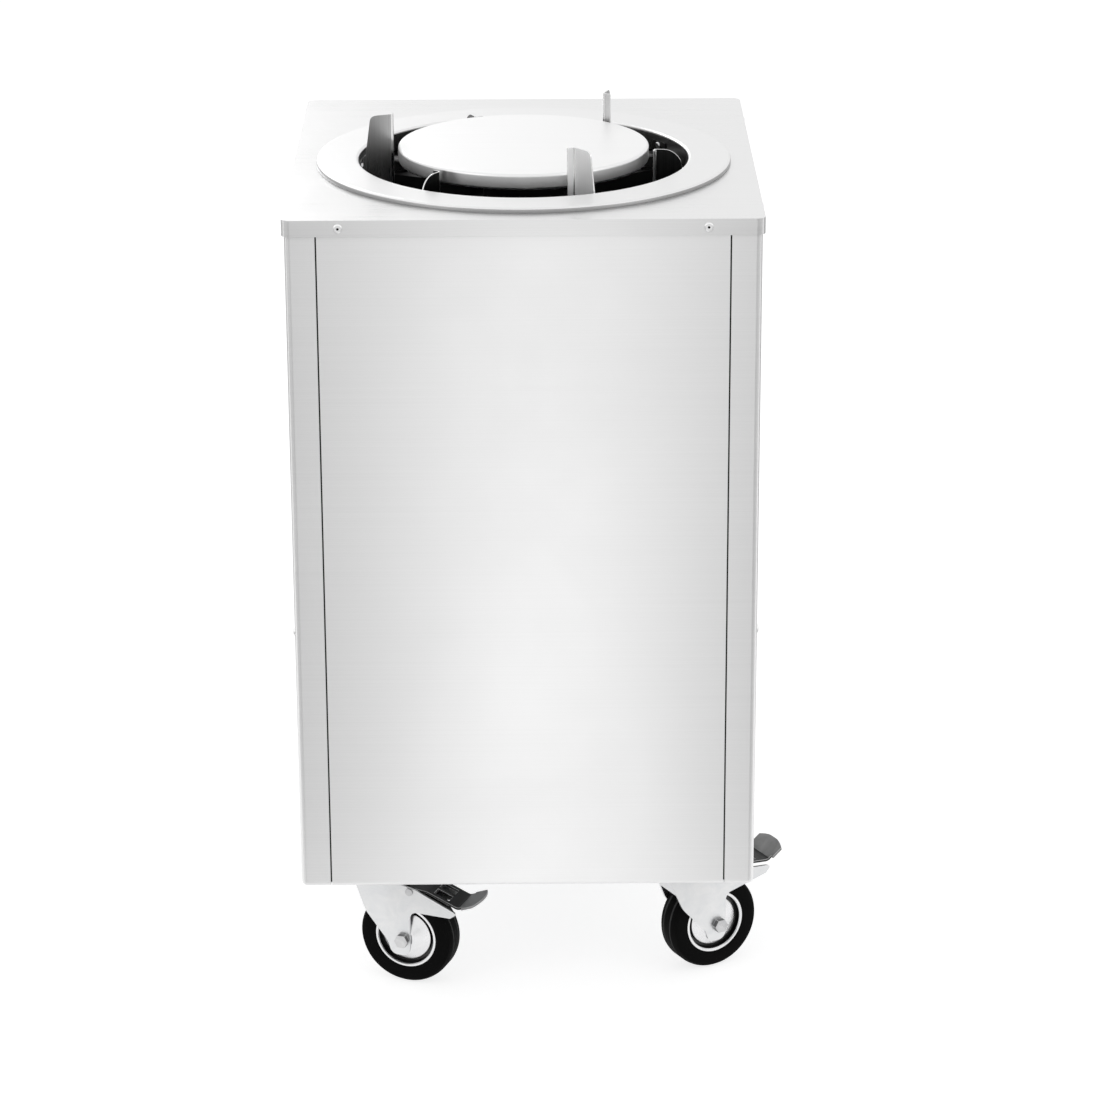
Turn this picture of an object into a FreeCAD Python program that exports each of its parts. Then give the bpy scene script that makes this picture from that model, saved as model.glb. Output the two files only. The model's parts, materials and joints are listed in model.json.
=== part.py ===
# Mobile plate dispenser with one heated well, on four braked swivel castors.
# Millimetres, +Z up. The origin is on the floor under the middle of the cabinet.
# The front faces -Y, and +X is on the right of someone who looks at the front.
import FreeCAD, Part
import math
import os

V = FreeCAD.Vector

# Cabinet sheet metal
SHEET = 1.2             # panels, top cover and control pan
DECK_MARGIN = 22.5      # ring to the deck's edge, at the front and the sides
LID_LIP = 16.0          # height of the lip
LIP_PLAY = 1.3          # room between the lip and the panels
CABINET_HEIGHT = 685.0  # panel bottom to deck
PANEL_CORNER = 6.0      # upright corners of the cabinet
PANEL_FOOT = 5.0        # fold at the bottom edge of the cabinet
PANEL_RETURN = 12.0     # inward flange under the cabinet
SIDE_FLANGE = 29.0      # how far a side panel wraps round to the front and the rear
SEAM = 1.5              # open joint between a side panel and its neighbour
POST_LEG = 40.0
POST_SHEET = 1.5
POST_RELIEF = 1.5       # extra radius of a post's corner over the panel's
BASE_SHEET = 1.5
BASE_WALL = 30.0
BASE_CORNER = 6.0
BASE_FOLD = 3.0
BASE_PLAY = 0.5         # base pan to the panels' bottom fold
PAST = 1.0              # how far a cut runs past the face that it opens
TINY = 1e-3

# Well, ring and liner
PLATFORM_RADIUS = 124.0
PLATE_PLAY = 5.75       # platform to the guide blades
BLADE_DEPTH = 33.25     # blades' inner faces to the collar
RING_WIDTH = 42.0       # collar bore to the ring's outer face
RING_RISE = 5.0         # ring above the deck
RING_SHEET = 1.5
RING_BEND = 2.25        # bend radius at the middle of the sheet
COLLAR_DROP = 14.0      # collar below the deck
DECK_HOLE_PLAY = 0.5    # deck hole to the collar
LINER_ROOM = 9.0        # collar bore to the inside of the liner
LINER_SHEET = 1.0
LINER_LIFT = 2.0        # liner above the castor bolts' ends
LINER_WINDOW_WIDTH = 64.0   # liner window for the heater's ends
LINER_WINDOW_HEIGHT = 44.0

# Guide blades round the plates
GUIDE_SHEET = 1.5
GUIDE_SEAT = 0.6        # blade flat to the collar
GUIDE_RETURN = 8.0      # folded inner edge
GUIDE_FLAT = 12.0       # folded seat against the collar
GUIDE_SLANT = 8.5       # sideways lean of a tall blade's web
GUIDE_BEND = 2.0
TALL_RISE = 43.0        # tall blade above the deck
TALL_FALL = 0.7         # slope of its top edge
TALL_ROUND = 6.0
TALL_FOOT_IN = 6.0      # collar to the blade's edge where it leaves the ring
TALL_TOP_IN = 11.2      # collar to the blade's edge at its top
TALL_NECK = 3.0         # height over the deck where the edge starts to lean
LOW_RISE = 15.0
LOW_ROUND = 18.5
LOW_EDGE_IN = 5.0       # collar to the low blade's outer edge
BLADE_SHOULDER = 3.0    # blade seat ends this far under the deck
TALL_ANGLES = (58.3, 178.3, 298.3)
LOW_ANGLES = (112.0, 232.0, 352.0)
SCREW_DROP = 7.0        # guide screws below the deck
SCREW_RADIUS = 2.0
SCREW_HEAD_RADIUS = 3.6
SCREW_HEAD = 2.2
SCREW_DOME = 1.3
SCREW_PLAY = 0.15
NUT_FLATS = 7.0
NUT_HEIGHT = 3.2

# Lift: rods, carriage, platform and spring
TRAVEL = 440.0
ROD_RADIUS = 6.0
ROD_INSET = 17.0        # collar bore to the middle of a rod
ROD_ANGLES = (32.0, 152.0, 272.0)
ROD_SHOULDER = 3.0      # extra radius of the rod's lower stop length
BRACKET_WIDTH = 22.0
BRACKET_DROP = 16.0     # bracket underside below the deck
BRACKET_REACH = 26.4    # bracket length from the blade seat inwards
BUFFER_HEIGHT = 8.0
BUFFER_RADIUS = 11.0
RUN_PLAY = 0.05         # running fit, radial
REST_GAP = 0.3          # carriage to buffer, spring to seat
BUSH_LENGTH = 30.0
BUSH_WALL = 3.9
HOUSING_WALL = 3.0
HUB_EDGE = 5.0          # hub beyond the spring
HUB_HOLE = 24.0
HUB_SHEET = 3.0
HUB_BELOW_BUSH_TOP = 16.7
ARM_WIDTH = 30.0
ARM_HEIGHT = 14.0
ARM_SHEET = 2.0
POST_RADIUS = 40.0
POST_WALL = 2.0
POST_FLANGE = 12.0
POST_FLANGE_SHEET = 3.0
PLATFORM_RISE = 17.0    # platform top above the deck, well empty
PLATFORM_SKIRT = 16.0
PLATFORM_SHEET = 1.5
PLATFORM_BEND = 2.25
PLATFORM_LIP = 6.0
SPRING_RADIUS = 60.0    # axis to the middle of the wire
WIRE_RADIUS = 3.0
SPRING_TURNS = 22
CLOSED_GAP = 0.7        # between a closed end coil and the next
TURN_SPANS = 4          # pairs of arcs in a turn of the wire
TURN_SAMPLES = 48       # points in a turn where its gap is measured
CUP_WALL = 9.0          # spring's outer face to the cup's rim
CUP_HEIGHT = 14.0
CUP_SHEET = 1.5
CUP_BEND = 2.0

# Heater in the foot of the well
HEATER_ROOM = 33.0      # spring cup to the middle of the tube
HEATER_TUBE = 4.0
HEATER_HEIGHT = 33.0    # tube axis above the base floor
HEATER_GAP = 20.0       # between the two ends of the ring
HEATER_BEND = 14.0
HEATER_TAIL = 14.0      # ends beyond the liner
HEATER_BRACKET_ANGLES = (200.0, 320.0, 70.0)
HEATER_BRACKET_WIDTH = 16.0
HEATER_BRACKET_FOOT = 18.0
HEATER_BRACKET_SHEET = 2.0
TERMINAL_LAP = 8.0      # block beyond the window on each side
TERMINAL_HEIGHT = 22.0
TERMINAL_COVER = 3.0    # block behind the heater's ends
TERMINAL_ROUND = 3.0
LOOSE_PLAY = 0.3

# Rear controls, in a pan let into the rear panel
CONTROL_BELOW_DECK = 120.0
CONTROL_ROOM = 31.8     # well liner to the thermostat
PAN_WIDTH = 170.0
PAN_HEIGHT = 90.0
PAN_DEPTH = 30.0
PAN_FLANGE = 12.0
PAN_CORNER = 8.0
PAN_FOLD = 3.0
PAN_PLAY = 0.5
KNOB_X = 52.0
KNOB_RADIUS = 19.0
KNOB_HEIGHT = 17.0
KNOB_GRIP_WIDTH = 9.0
KNOB_LIFT = 0.4
KNOB_SKIRT = 5.0
KNOB_SKIRT_ROUND = 1.0
KNOB_CROWN = 5.0        # material over the blind bore
KNOB_GRIP_INSET = 1.5
KNOB_GRIP_ROUND = 2.0
KNOB_GRIP_CORNER = 4.1
SHAFT_RADIUS = 3.0
THERMOSTAT_SIZE = 42.0
THERMOSTAT_DEPTH = 24.0
THERMOSTAT_ROUND = 4.0
LAMP_X = 10.0
LAMP_RADIUS = 6.0
LAMP_FLANGE = 1.5
LAMP_RISE = 4.0
LAMP_DOME = 2.8
LAMP_BODY = 16.0
SWITCH_X = -22.0
SWITCH_WIDTH = 22.0
SWITCH_HEIGHT = 32.0
SWITCH_WALL = 2.0
SWITCH_FRAME = 3.0
SWITCH_RISE = 3.0
SWITCH_BODY = 20.0
ROCKER_PLAY = 0.4
ROCKER_END_PLAY = 1.0
ROCKER_SINK = 1.0       # pivot below the frame's face
ROCKER_DEPTH = 6.0
ROCKER_EDGE = 1.0
ROCKER_RISE = 4.0
ROCKER_DISH = 2.0       # hollow in the rocker's face
ROCKER_DISH_ROUND = 8.0
ROCKER_HEEL_ROUND = 2.0
ROCKER_TIP_ROUND = 1.0
ROCKER_PIN = 1.5
ROCKER_PIN_HOLD = 1.0   # pin inside the switch's wall
ROCKER_TILT = 10.0      # degrees from level, at rest
GLAND_X = -60.0
GLAND_FLATS = 22.0
GLAND_GRIP = 6.0        # height of its hexagon
GLAND_RISE = 12.0
GLAND_DOME_INSET = 1.0
GLAND_DOME_ROUND = 4.0
GLAND_BORE = 4.0        # grips the cord
GLAND_SEAL = 10.0       # length of that bore
GLAND_PASSAGE = 5.0     # wider bore behind it
GLAND_THREAD = 8.0
GLAND_NUT = 5.0

# Pop rivets
RIVET_INSET_X = 53.5    # from the corner, in the front and rear lips
RIVET_INSET_Y = 71.0    # from the corner, in the side lips
RIVET_DROP = 8.0        # below the deck
RIVET_SIDE_HEIGHT = 269.0   # above the panel bottom, at the side edges
RIVET_EDGE = 10.0
RIVET_HEAD_RADIUS = 4.5
RIVET_HEAD = 1.6
RIVET_SHANK = 2.35
RIVET_BORE = 1.2
RIVET_TAIL = 3.0
RIVET_TAIL_ROUND = 0.5
RIVET_DOME = 1.2
RIVET_PLAY = 0.1

# Castors. In a castor's own frame the kingpin is the Z axis and the wheel trails along +X.
CASTOR_INSET_X = 72.0   # kingpin to the cabinet's side
CASTOR_INSET_Y = 74.5   # kingpin to its front or rear
PEDAL_RAISE = 16.0      # degrees, a released pedal above a pressed one
CASTORS = (
    # name, side, end, turn of the fork, tilt of the pedal and of the guard beside it
    ("front_left", -1, -1, -21.0, 0.0),
    ("front_right", 1, -1, 29.5, PEDAL_RAISE),
    ("rear_right", 1, 1, 159.0, PEDAL_RAISE),
    ("rear_left", -1, 1, 143.0, PEDAL_RAISE),
)
WHEEL_RADIUS = 50.0
WHEEL_WIDTH = 30.0
TRAIL = 36.0
TYRE_DEPTH = 16.8
TYRE_BEAD_ROUND = 1.5
TYRE_SHOULDER = 6.0
TREAD_GROOVE = 1.6
TREAD_OFFSET = 6.0
RIM_WALL = 3.4
RIM_INSET = 1.2
GROOVE_WIDTH = 4.0      # dark recess between the rim's flange and the disc
GROOVE_DEPTH = 8.0
GROOVE_ROUND = 1.0
DISC_INSET = 3.0        # disc's edge behind the rim's flange
DISC_ROUND = 2.0
HUB_BOSS_RADIUS = 11.0
HUB_SIDE_PLAY = 1.0
AXLE_RADIUS = 4.0
AXLE_PLAY = 0.06
AXLE_FLATS = 13.0
AXLE_HEAD = 5.5
AXLE_NUT = 6.5
AXLE_TAIL = 2.0
PLATE_LENGTH = 105.0
PLATE_WIDTH = 85.0
PLATE_SHEET = 3.0
PLATE_CORNER = 7.0
BOLT_LENGTHWISE = 80.0
BOLT_CROSSWISE = 60.0
BOLT_RADIUS = 4.0
BOLT_PLAY = 0.3
BOLT_FLATS = 13.0
BOLT_HEAD = 5.3
BOLT_NUT = 6.5
BOLT_TAIL = 1.5
KINGPIN_RADIUS = 5.0
KINGPIN_HEAD_RADIUS = 9.0
KINGPIN_HEAD = 5.5
KINGPIN_ROUND = 1.8
RACE_RADIUS = 27.0
RACE_DEPTH = 5.5
RACE_ROUND = 2.75
RACE_GAP = 0.5
FORK_CUP_RADIUS = 29.0
FORK_CUP_HEIGHT = 7.0
FORK_CUP_ROUND = 2.0
FORK_SHEET = 2.5
FORK_SIDE_PLAY = 4.0    # tyre to the fork's cheek
CROWN_SHEET = 3.0
CROWN_CLEAR = 11.0      # tyre top to the crown
CROWN_FRONT = 22.0      # fork's front edge ahead of the kingpin, at the crown
FORK_CREASE = 22.0      # cheeks lean inwards ahead of this line
FORK_LEAN = 7.0         # degrees
FORK_APRON = 23.0       # front plate between the cheeks, down from the crown's top
FORK_WAIST = 6.0        # front edge ahead of the kingpin, at the waist
FORK_WAIST_HEIGHT = 25.0    # waist above the axle
FORK_WAIST_ROUND = 30.0
FORK_TOE = 16.0         # front edge ahead of the axle
FORK_TOE_DROP = 4.0     # and below it
FORK_LOBE_FRONT = 12.0  # lobe round the axle, ahead of it
FORK_LOBE_REAR = 8.0
FORK_LOBE_DROP = 17.0
FORK_LOBE_ROUND = 9.0
WING_NOTCH = 32.5       # lower edge of the pedal's guard above the axle, at the lobe
WING_NOTCH_ROUND = 8.0
WING_REACH = 59.0       # guard behind the axle
WING_LOW = 32.0         # its lower edge above the axle, at the end
WING_TIP = 7.5          # height of its end
WING_TIP_SLANT = 7.0
WING_NOSE = 5.0         # rearmost point of the guard above its lower edge
WING_TOP_SLANT = 3.5
WING_ROUND = 2.0
WING_SHOULDER = 8.0     # knee in the guard's upper edge, behind the pedal's pin
WING_SHOULDER_RISE = 2.4    # and above it
WING_SHOULDER_ROUND = 12.0
PEDAL_SHEET = 2.5
PEDAL_PIVOT_X = 44.0
PEDAL_PIVOT_CLEAR = 1.3     # tyre to the pedal's barrel, upright
PEDAL_BARREL = 3.8
PEDAL_PIN = 2.5
PEDAL_PIN_HEAD = 1.5
PEDAL_SIDE_PLAY = 1.0
PEDAL_KNEE_X = 62.0
PEDAL_SLOPE = 2.0
PEDAL_DIP_X = 95.0
PEDAL_DIP = 15.0
PEDAL_TREAD_X = 100.0   # the wide tread starts here
PEDAL_TIP_X = 117.5
PEDAL_TIP = 8.5
PEDAL_TIP_EXTRA = 3.0   # the tread is wider than the tail on each side
PEDAL_TIP_ROUND = 44.0  # the tread's end is an arc
PEDAL_BEND = 7.0
PEDAL_WINDOW_START = 68.0   # two windows side by side in the pedal's slope
PEDAL_WINDOW_END = 84.0
PEDAL_WINDOW_BRIDGE = 5.0     # strip between them
PEDAL_WINDOW_EDGE = 5.0       # strip beside them

# Heights and places worked out from the sizes above
AXLE_Z = WHEEL_RADIUS
CROWN_BOTTOM = 2 * WHEEL_RADIUS + CROWN_CLEAR
CROWN_TOP = CROWN_BOTTOM + CROWN_SHEET
CUP_TOP = CROWN_TOP + FORK_CUP_HEIGHT
RACE_BOTTOM = CUP_TOP + RACE_GAP
PLATE_BOTTOM = RACE_BOTTOM + RACE_DEPTH
CASTOR_HEIGHT = PLATE_BOTTOM + PLATE_SHEET      # floor to the underside of the base pan
FORK_INNER = WHEEL_WIDTH / 2 + FORK_SIDE_PLAY
FORK_OUTER = FORK_INNER + FORK_SHEET
GUIDE_MOUTH = PLATFORM_RADIUS + PLATE_PLAY
COLLAR_RADIUS = GUIDE_MOUTH + BLADE_DEPTH
COLLAR_OUTER = COLLAR_RADIUS + RING_SHEET
LINER_RADIUS = COLLAR_RADIUS + LINER_ROOM
LINER_OUTER = LINER_RADIUS + LINER_SHEET
ROD_CIRCLE = COLLAR_RADIUS - ROD_INSET
SPRING_OUTER = SPRING_RADIUS + WIRE_RADIUS
HUB_RADIUS = SPRING_OUTER + HUB_EDGE
HEATER_RADIUS = SPRING_OUTER + CUP_WALL + HEATER_ROOM
WELL_SETBACK = COLLAR_RADIUS + RING_WIDTH + DECK_MARGIN     # deck's front edge to the well's axis
CONTROL_DEPTH = PAN_DEPTH + SHEET + THERMOSTAT_DEPTH
LID_WIDTH = 2 * WELL_SETBACK        # over the folded lip, left to right
LID_DEPTH = WELL_SETBACK + LINER_OUTER + CONTROL_ROOM + CONTROL_DEPTH + SHEET + LIP_PLAY
PANEL_BOTTOM = CASTOR_HEIGHT - SHEET
LID_TOP = PANEL_BOTTOM + CABINET_HEIGHT
PANEL_TOP = LID_TOP - SHEET
LID_EDGE = SHEET + LIP_PLAY         # outer radius of the fold into the lip
LID_CORNER = PANEL_CORNER + LID_EDGE
HALF_WIDTH = LID_WIDTH / 2 - SHEET - LIP_PLAY
HALF_DEPTH = LID_DEPTH / 2 - SHEET - LIP_PLAY
INNER_WIDTH = HALF_WIDTH - SHEET
INNER_DEPTH = HALF_DEPTH - SHEET
BASE_FLOOR = CASTOR_HEIGHT + BASE_SHEET
LINER_FOOT = BASE_FLOOR + BOLT_NUT + BOLT_TAIL + LINER_LIFT
WELL = V(0, WELL_SETBACK - LID_DEPTH / 2, 0)
SEAT_RADIUS = COLLAR_RADIUS - GUIDE_SEAT
SCREW_Z = LID_TOP - SCREW_DROP
BRACKET_Z = LID_TOP - BRACKET_DROP
BUSH_TOP = BRACKET_Z - BUFFER_HEIGHT - REST_GAP
BUSH_BOTTOM = BUSH_TOP - BUSH_LENGTH
LOWER_STOP = BUSH_BOTTOM - TRAVEL - REST_GAP
HUB_TOP = BUSH_TOP - HUB_BELOW_BUSH_TOP
HUB_BOTTOM = HUB_TOP - HUB_SHEET
PLATFORM_TOP = LID_TOP + PLATFORM_RISE
PLATFORM_UNDER = PLATFORM_TOP - PLATFORM_SHEET
CUP_FLOOR = BASE_FLOOR + CUP_SHEET
BUSH_RADIUS = ROD_RADIUS + RUN_PLAY + BUSH_WALL
HOUSING_BORE = BUSH_RADIUS + RUN_PLAY
HEATER_Z = BASE_FLOOR + HEATER_HEIGHT
CASTOR_X = HALF_WIDTH - CASTOR_INSET_X
CASTOR_Y = HALF_DEPTH - CASTOR_INSET_Y


# Helpers

def box(x0, y0, z0, x1, y1, z1):
    """Block between two opposite corners."""
    return Part.makeBox(x1 - x0, y1 - y0, z1 - z0, V(x0, y0, z0))


def rod(radius, start, end):
    """Round bar from one point to another."""
    return Part.makeCylinder(radius, (end - start).Length, start, end - start)


def upright(radius, low, high, at=V(0, 0, 0)):
    """Round bar along Z."""
    return rod(radius, V(at.x, at.y, low), V(at.x, at.y, high))


def hexagon(flats, start, end):
    """Hexagonal bar from one point to another."""
    axis = end - start
    corner_radius = flats / math.sqrt(3)
    turn = FreeCAD.Rotation(V(0, 0, 1), axis)
    corners = []
    for step in range(7):
        angle = math.radians(60 * step)
        spoke = V(corner_radius * math.cos(angle), corner_radius * math.sin(angle), 0)
        corners.append(start + turn.multVec(spoke))
    return Part.Face(Part.makePolygon(corners)).extrude(axis)


def in_plan(a, b):
    """Outline plane of things cut out in plan."""
    return V(a, b, 0)


def in_section(a, b):
    """Outline plane of things seen from the side: a along X, b along Z."""
    return V(a, 0, b)


def outline(corners, plane):
    """Closed face through (a, b, radius) corners, each rounded by its radius."""
    spans = []
    count = len(corners)
    for index, (a, b, radius) in enumerate(corners):
        point = V(a, b, 0)
        if radius <= 0:
            spans.append((point, None, point))
            continue
        before = V(*corners[index - 1][:2], 0) - point
        after = V(*corners[(index + 1) % count][:2], 0) - point
        before.normalize()
        after.normalize()
        half = before.getAngle(after) / 2
        reach = radius / math.tan(half)
        inward = before + after
        inward.normalize()
        middle = point + inward * (radius / math.sin(half) - radius)
        spans.append((point + before * reach, middle, point + after * reach))
    edges = []
    for index, (start, middle, end) in enumerate(spans):
        if middle:
            arc = [plane(p.x, p.y) for p in (start, middle, end)]
            edges.append(Part.Arc(*arc).toShape())
        following = spans[(index + 1) % count][0]
        if (following - end).Length > 1e-6:
            line = Part.LineSegment(plane(end.x, end.y), plane(following.x, following.y))
            edges.append(line.toShape())
    return Part.Face(Part.Wire(edges))


def bent_strip(points, sheet, bend, plane):
    """Face of a sheet folded along an open line; bend is the radius at its middle."""
    line = [V(a, b, 0) for a, b in points]
    left = []
    right = []
    for index, point in enumerate(line):
        ahead = line[min(index + 1, len(line) - 1)] - line[min(index, len(line) - 2)]
        behind = line[max(index, 1)] - line[max(index - 1, 0)]
        ahead.normalize()
        behind.normalize()
        side = V(-ahead.y - behind.y, ahead.x + behind.x, 0)
        side.normalize()
        spread = sheet / 2 / side.dot(V(-ahead.y, ahead.x, 0))
        turn = behind.x * ahead.y - behind.y * ahead.x
        swell = math.copysign(sheet / 2, turn) if abs(turn) > 1e-6 else 0
        inner = bend - swell if swell else 0
        outer = bend + swell if swell else 0
        left.append((point.x + side.x * spread, point.y + side.y * spread, inner))
        right.append((point.x - side.x * spread, point.y - side.y * spread, outer))
    return outline(left + right[::-1], plane)


def spun(face, axis_at=V(0, 0, 0), axis=V(0, 0, 1)):
    """Full turn of a face round an axis."""
    return face.revolve(axis_at, axis, 360)


def rounded_block(half_x, half_y, low, high, corner, fold, fold_level):
    """Block with rounded upright corners, and a rounded edge at one of its two levels."""
    solid = box(-half_x, -half_y, low, half_x, half_y, high)
    uprights = [e for e in solid.Edges if e.BoundBox.ZLength > (high - low) / 2]
    solid = solid.makeFillet(corner, uprights)
    rim = [e for e in solid.Edges if e.BoundBox.ZLength < TINY
           and abs(e.BoundBox.ZMin - fold_level) < TINY]
    return solid.makeFillet(fold, rim)


def turned(shape, degrees, at=V(0, 0, 0)):
    """Copy turned round the upright axis through the origin, then moved to a place."""
    copy = shape.copy()
    copy.rotate(V(0, 0, 0), V(0, 0, 1), degrees)
    copy.translate(at)
    return copy


def around(degrees, radius, height):
    """Point on a circle round the axis of the well."""
    angle = math.radians(degrees)
    return WELL + V(radius * math.cos(angle), radius * math.sin(angle), height)


def save(name, *solids):
    """Write one node, as one solid or a group of separate ones."""
    shape = solids[0] if len(solids) == 1 else Part.makeCompound(list(solids))
    shape.exportStep("parts/" + name + ".step")
    print(name, len(shape.Solids), "solid", round(shape.Volume), "mm3", shape.isValid())


# Pop rivets and the holes that they sit in

def rivet_places():
    """Head seat and outward direction of every rivet."""
    lip_z = LID_TOP - RIVET_DROP
    lip_x = LID_WIDTH / 2 - RIVET_INSET_X
    lip_y = LID_DEPTH / 2 - RIVET_INSET_Y
    side_z = PANEL_BOTTOM + RIVET_SIDE_HEIGHT
    places = []
    for end in (-1, 1):
        for side in (-1, 1):
            front = V(side * lip_x, end * LID_DEPTH / 2, lip_z)
            flank = V(end * LID_WIDTH / 2, side * lip_y, lip_z)
            edge = V(end * HALF_WIDTH, side * (HALF_DEPTH - RIVET_EDGE), side_z)
            places.append((front, V(0, end, 0)))
            places.append((flank, V(end, 0, 0)))
            places.append((edge, V(end, 0, 0)))
    return places


def rivet(seat, outward):
    """Domed head with the broken mandrel's hole, and a shank through both sheets."""
    inner = 2 * SHEET + LIP_PLAY + POST_SHEET + RIVET_TAIL
    top = RIVET_HEAD
    half = [(0, -inner, 0), (RIVET_SHANK, -inner, RIVET_TAIL_ROUND), (RIVET_SHANK, 0, 0),
            (RIVET_HEAD_RADIUS, 0, 0), (RIVET_HEAD_RADIUS, top, RIVET_DOME), (0, top, 0)]
    body = spun(outline(half, in_section))
    body = body.cut(upright(RIVET_BORE, -inner / 2, top + PAST))
    body.Placement = FreeCAD.Placement(seat, FreeCAD.Rotation(V(0, 0, 1), outward))
    return body


def rivet_holes():
    """Round cuts for the rivets' shanks."""
    depth = 2 * SHEET + LIP_PLAY + POST_SHEET + PAST
    radius = RIVET_SHANK + RIVET_PLAY
    return [rod(radius, seat + way * PAST, seat - way * depth) for seat, way in rivet_places()]


# Cabinet

def cabinet_shell():
    """All four walls with their bottom flange, before the seams part them."""
    outer = rounded_block(HALF_WIDTH, HALF_DEPTH, PANEL_BOTTOM, PANEL_TOP,
                          PANEL_CORNER, PANEL_FOOT, PANEL_BOTTOM)
    inner = rounded_block(INNER_WIDTH, INNER_DEPTH, CASTOR_HEIGHT, PANEL_TOP + PAST,
                          PANEL_CORNER - SHEET, PANEL_FOOT - SHEET, CASTOR_HEIGHT)
    reach_x = HALF_WIDTH - PANEL_RETURN
    reach_y = HALF_DEPTH - PANEL_RETURN
    mouth = box(-reach_x, -reach_y, PANEL_BOTTOM - PAST, reach_x, reach_y, CASTOR_HEIGHT + PAST)
    return outer.cut(inner).cut(mouth).cut(rivet_holes())


def side_panel(shell, side):
    """Wall that wraps round two corners as a channel."""
    edge = side * (HALF_WIDTH - SIDE_FLANGE)
    far = side * (HALF_WIDTH + PAST)
    low, high = sorted((edge, far))
    return shell.common(box(low, -LID_DEPTH, 0, high, LID_DEPTH, LID_TOP))


def end_panel(shell, side):
    """Front or rear wall between the two side panels."""
    half = HALF_WIDTH - SIDE_FLANGE - SEAM
    low, high = sorted((0, side * LID_DEPTH))
    return shell.common(box(-half, low, 0, half, high, LID_TOP))


def corner_posts():
    """Angle posts that back the seams and carry the deck."""
    low = CASTOR_HEIGHT + PANEL_FOOT - SHEET
    posts = []
    for side in (-1, 1):
        for end in (-1, 1):
            radius = PANEL_CORNER - SHEET + POST_RELIEF
            middle = POST_SHEET / 2
            run = [(side * (INNER_WIDTH - POST_LEG), end * (INNER_DEPTH - middle)),
                   (side * (INNER_WIDTH - middle), end * (INNER_DEPTH - middle)),
                   (side * (INNER_WIDTH - middle), end * (INNER_DEPTH - POST_LEG))]
            leg = bent_strip(run, POST_SHEET, radius - middle, in_plan)
            post = leg.extrude(V(0, 0, PANEL_TOP - low))
            post.translate(V(0, 0, low))
            posts.append(post.cut(rivet_holes()))
    return posts


def top_cover():
    """Deck with a folded lip and the hole for the ring's collar."""
    low = LID_TOP - LID_LIP
    outer = rounded_block(LID_WIDTH / 2, LID_DEPTH / 2, low, LID_TOP, LID_CORNER, LID_EDGE, LID_TOP)
    inner = rounded_block(LID_WIDTH / 2 - SHEET, LID_DEPTH / 2 - SHEET, low - PAST, PANEL_TOP,
                          LID_CORNER - SHEET, LID_EDGE - SHEET, PANEL_TOP)
    hole = upright(COLLAR_OUTER + DECK_HOLE_PLAY, PANEL_TOP - PAST, LID_TOP + PAST, WELL)
    return outer.cut(inner).cut([hole] + rivet_holes())


def base_pan():
    """Shallow tray on the panels' flanges, with the castors' bolt holes."""
    half_x = HALF_WIDTH - PANEL_FOOT - BASE_PLAY
    half_y = HALF_DEPTH - PANEL_FOOT - BASE_PLAY
    top = CASTOR_HEIGHT + BASE_WALL
    outer = rounded_block(half_x, half_y, CASTOR_HEIGHT, top, BASE_CORNER, BASE_FOLD, CASTOR_HEIGHT)
    inner = rounded_block(half_x - BASE_SHEET, half_y - BASE_SHEET, BASE_FLOOR, top + PAST,
                          BASE_CORNER - BASE_SHEET, BASE_FOLD - BASE_SHEET, BASE_FLOOR)
    holes = [upright(BOLT_RADIUS + BOLT_PLAY, CASTOR_HEIGHT - PAST, BASE_FLOOR + PAST, at)
             for at in bolt_places()]
    return outer.cut(inner).cut(holes)


# Well: ring, liner and guide blades

def rim_ring():
    """Raised ring of folded sheet whose collar hangs in the deck hole."""
    half = RING_SHEET / 2
    outer = COLLAR_RADIUS + RING_WIDTH - half
    top = LID_TOP + RING_RISE - half
    run = [(outer, LID_TOP), (outer, top), (COLLAR_RADIUS + half, top),
           (COLLAR_RADIUS + half, LID_TOP - COLLAR_DROP)]
    ring = spun(bent_strip(run, RING_SHEET, RING_BEND, in_section))
    ring.translate(WELL)
    depth = GUIDE_SHEET + GUIDE_SEAT + RING_SHEET + PAST
    holes = [rod(SCREW_RADIUS + SCREW_PLAY, inner, inner + way * depth) for inner, way in screw_places()]
    return ring.cut(holes)


def well_liner():
    """Tube round the stack, with a window for the heater's ends."""
    tube = upright(LINER_OUTER, LINER_FOOT, PANEL_TOP, WELL)
    tube = tube.cut(upright(LINER_RADIUS, LINER_FOOT - PAST, PANEL_TOP + PAST, WELL))
    window = box(-LINER_WINDOW_WIDTH / 2, 0, HEATER_Z - LINER_WINDOW_HEIGHT / 2,
                 LINER_WINDOW_WIDTH / 2, LID_DEPTH / 2 - WELL.y, HEATER_Z + LINER_WINDOW_HEIGHT / 2)
    window.translate(WELL)
    return tube.cut(window)


def screw_places():
    """Inner seat and outward direction of each screw through the collar."""
    places = []
    for angle in TALL_ANGLES + ROD_ANGLES:
        places.append((angle, 0))
    for angle in LOW_ANGLES:
        places.append((angle, GUIDE_FLAT / 2))
    seats = []
    for angle, sideways in places:
        way = V(math.cos(math.radians(angle)), math.sin(math.radians(angle)), 0)
        across = V(-way.y, way.x, 0)
        inner = SEAT_RADIUS - GUIDE_SHEET
        seats.append((WELL + way * inner + across * sideways + V(0, 0, SCREW_Z), way))
    return seats


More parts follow.
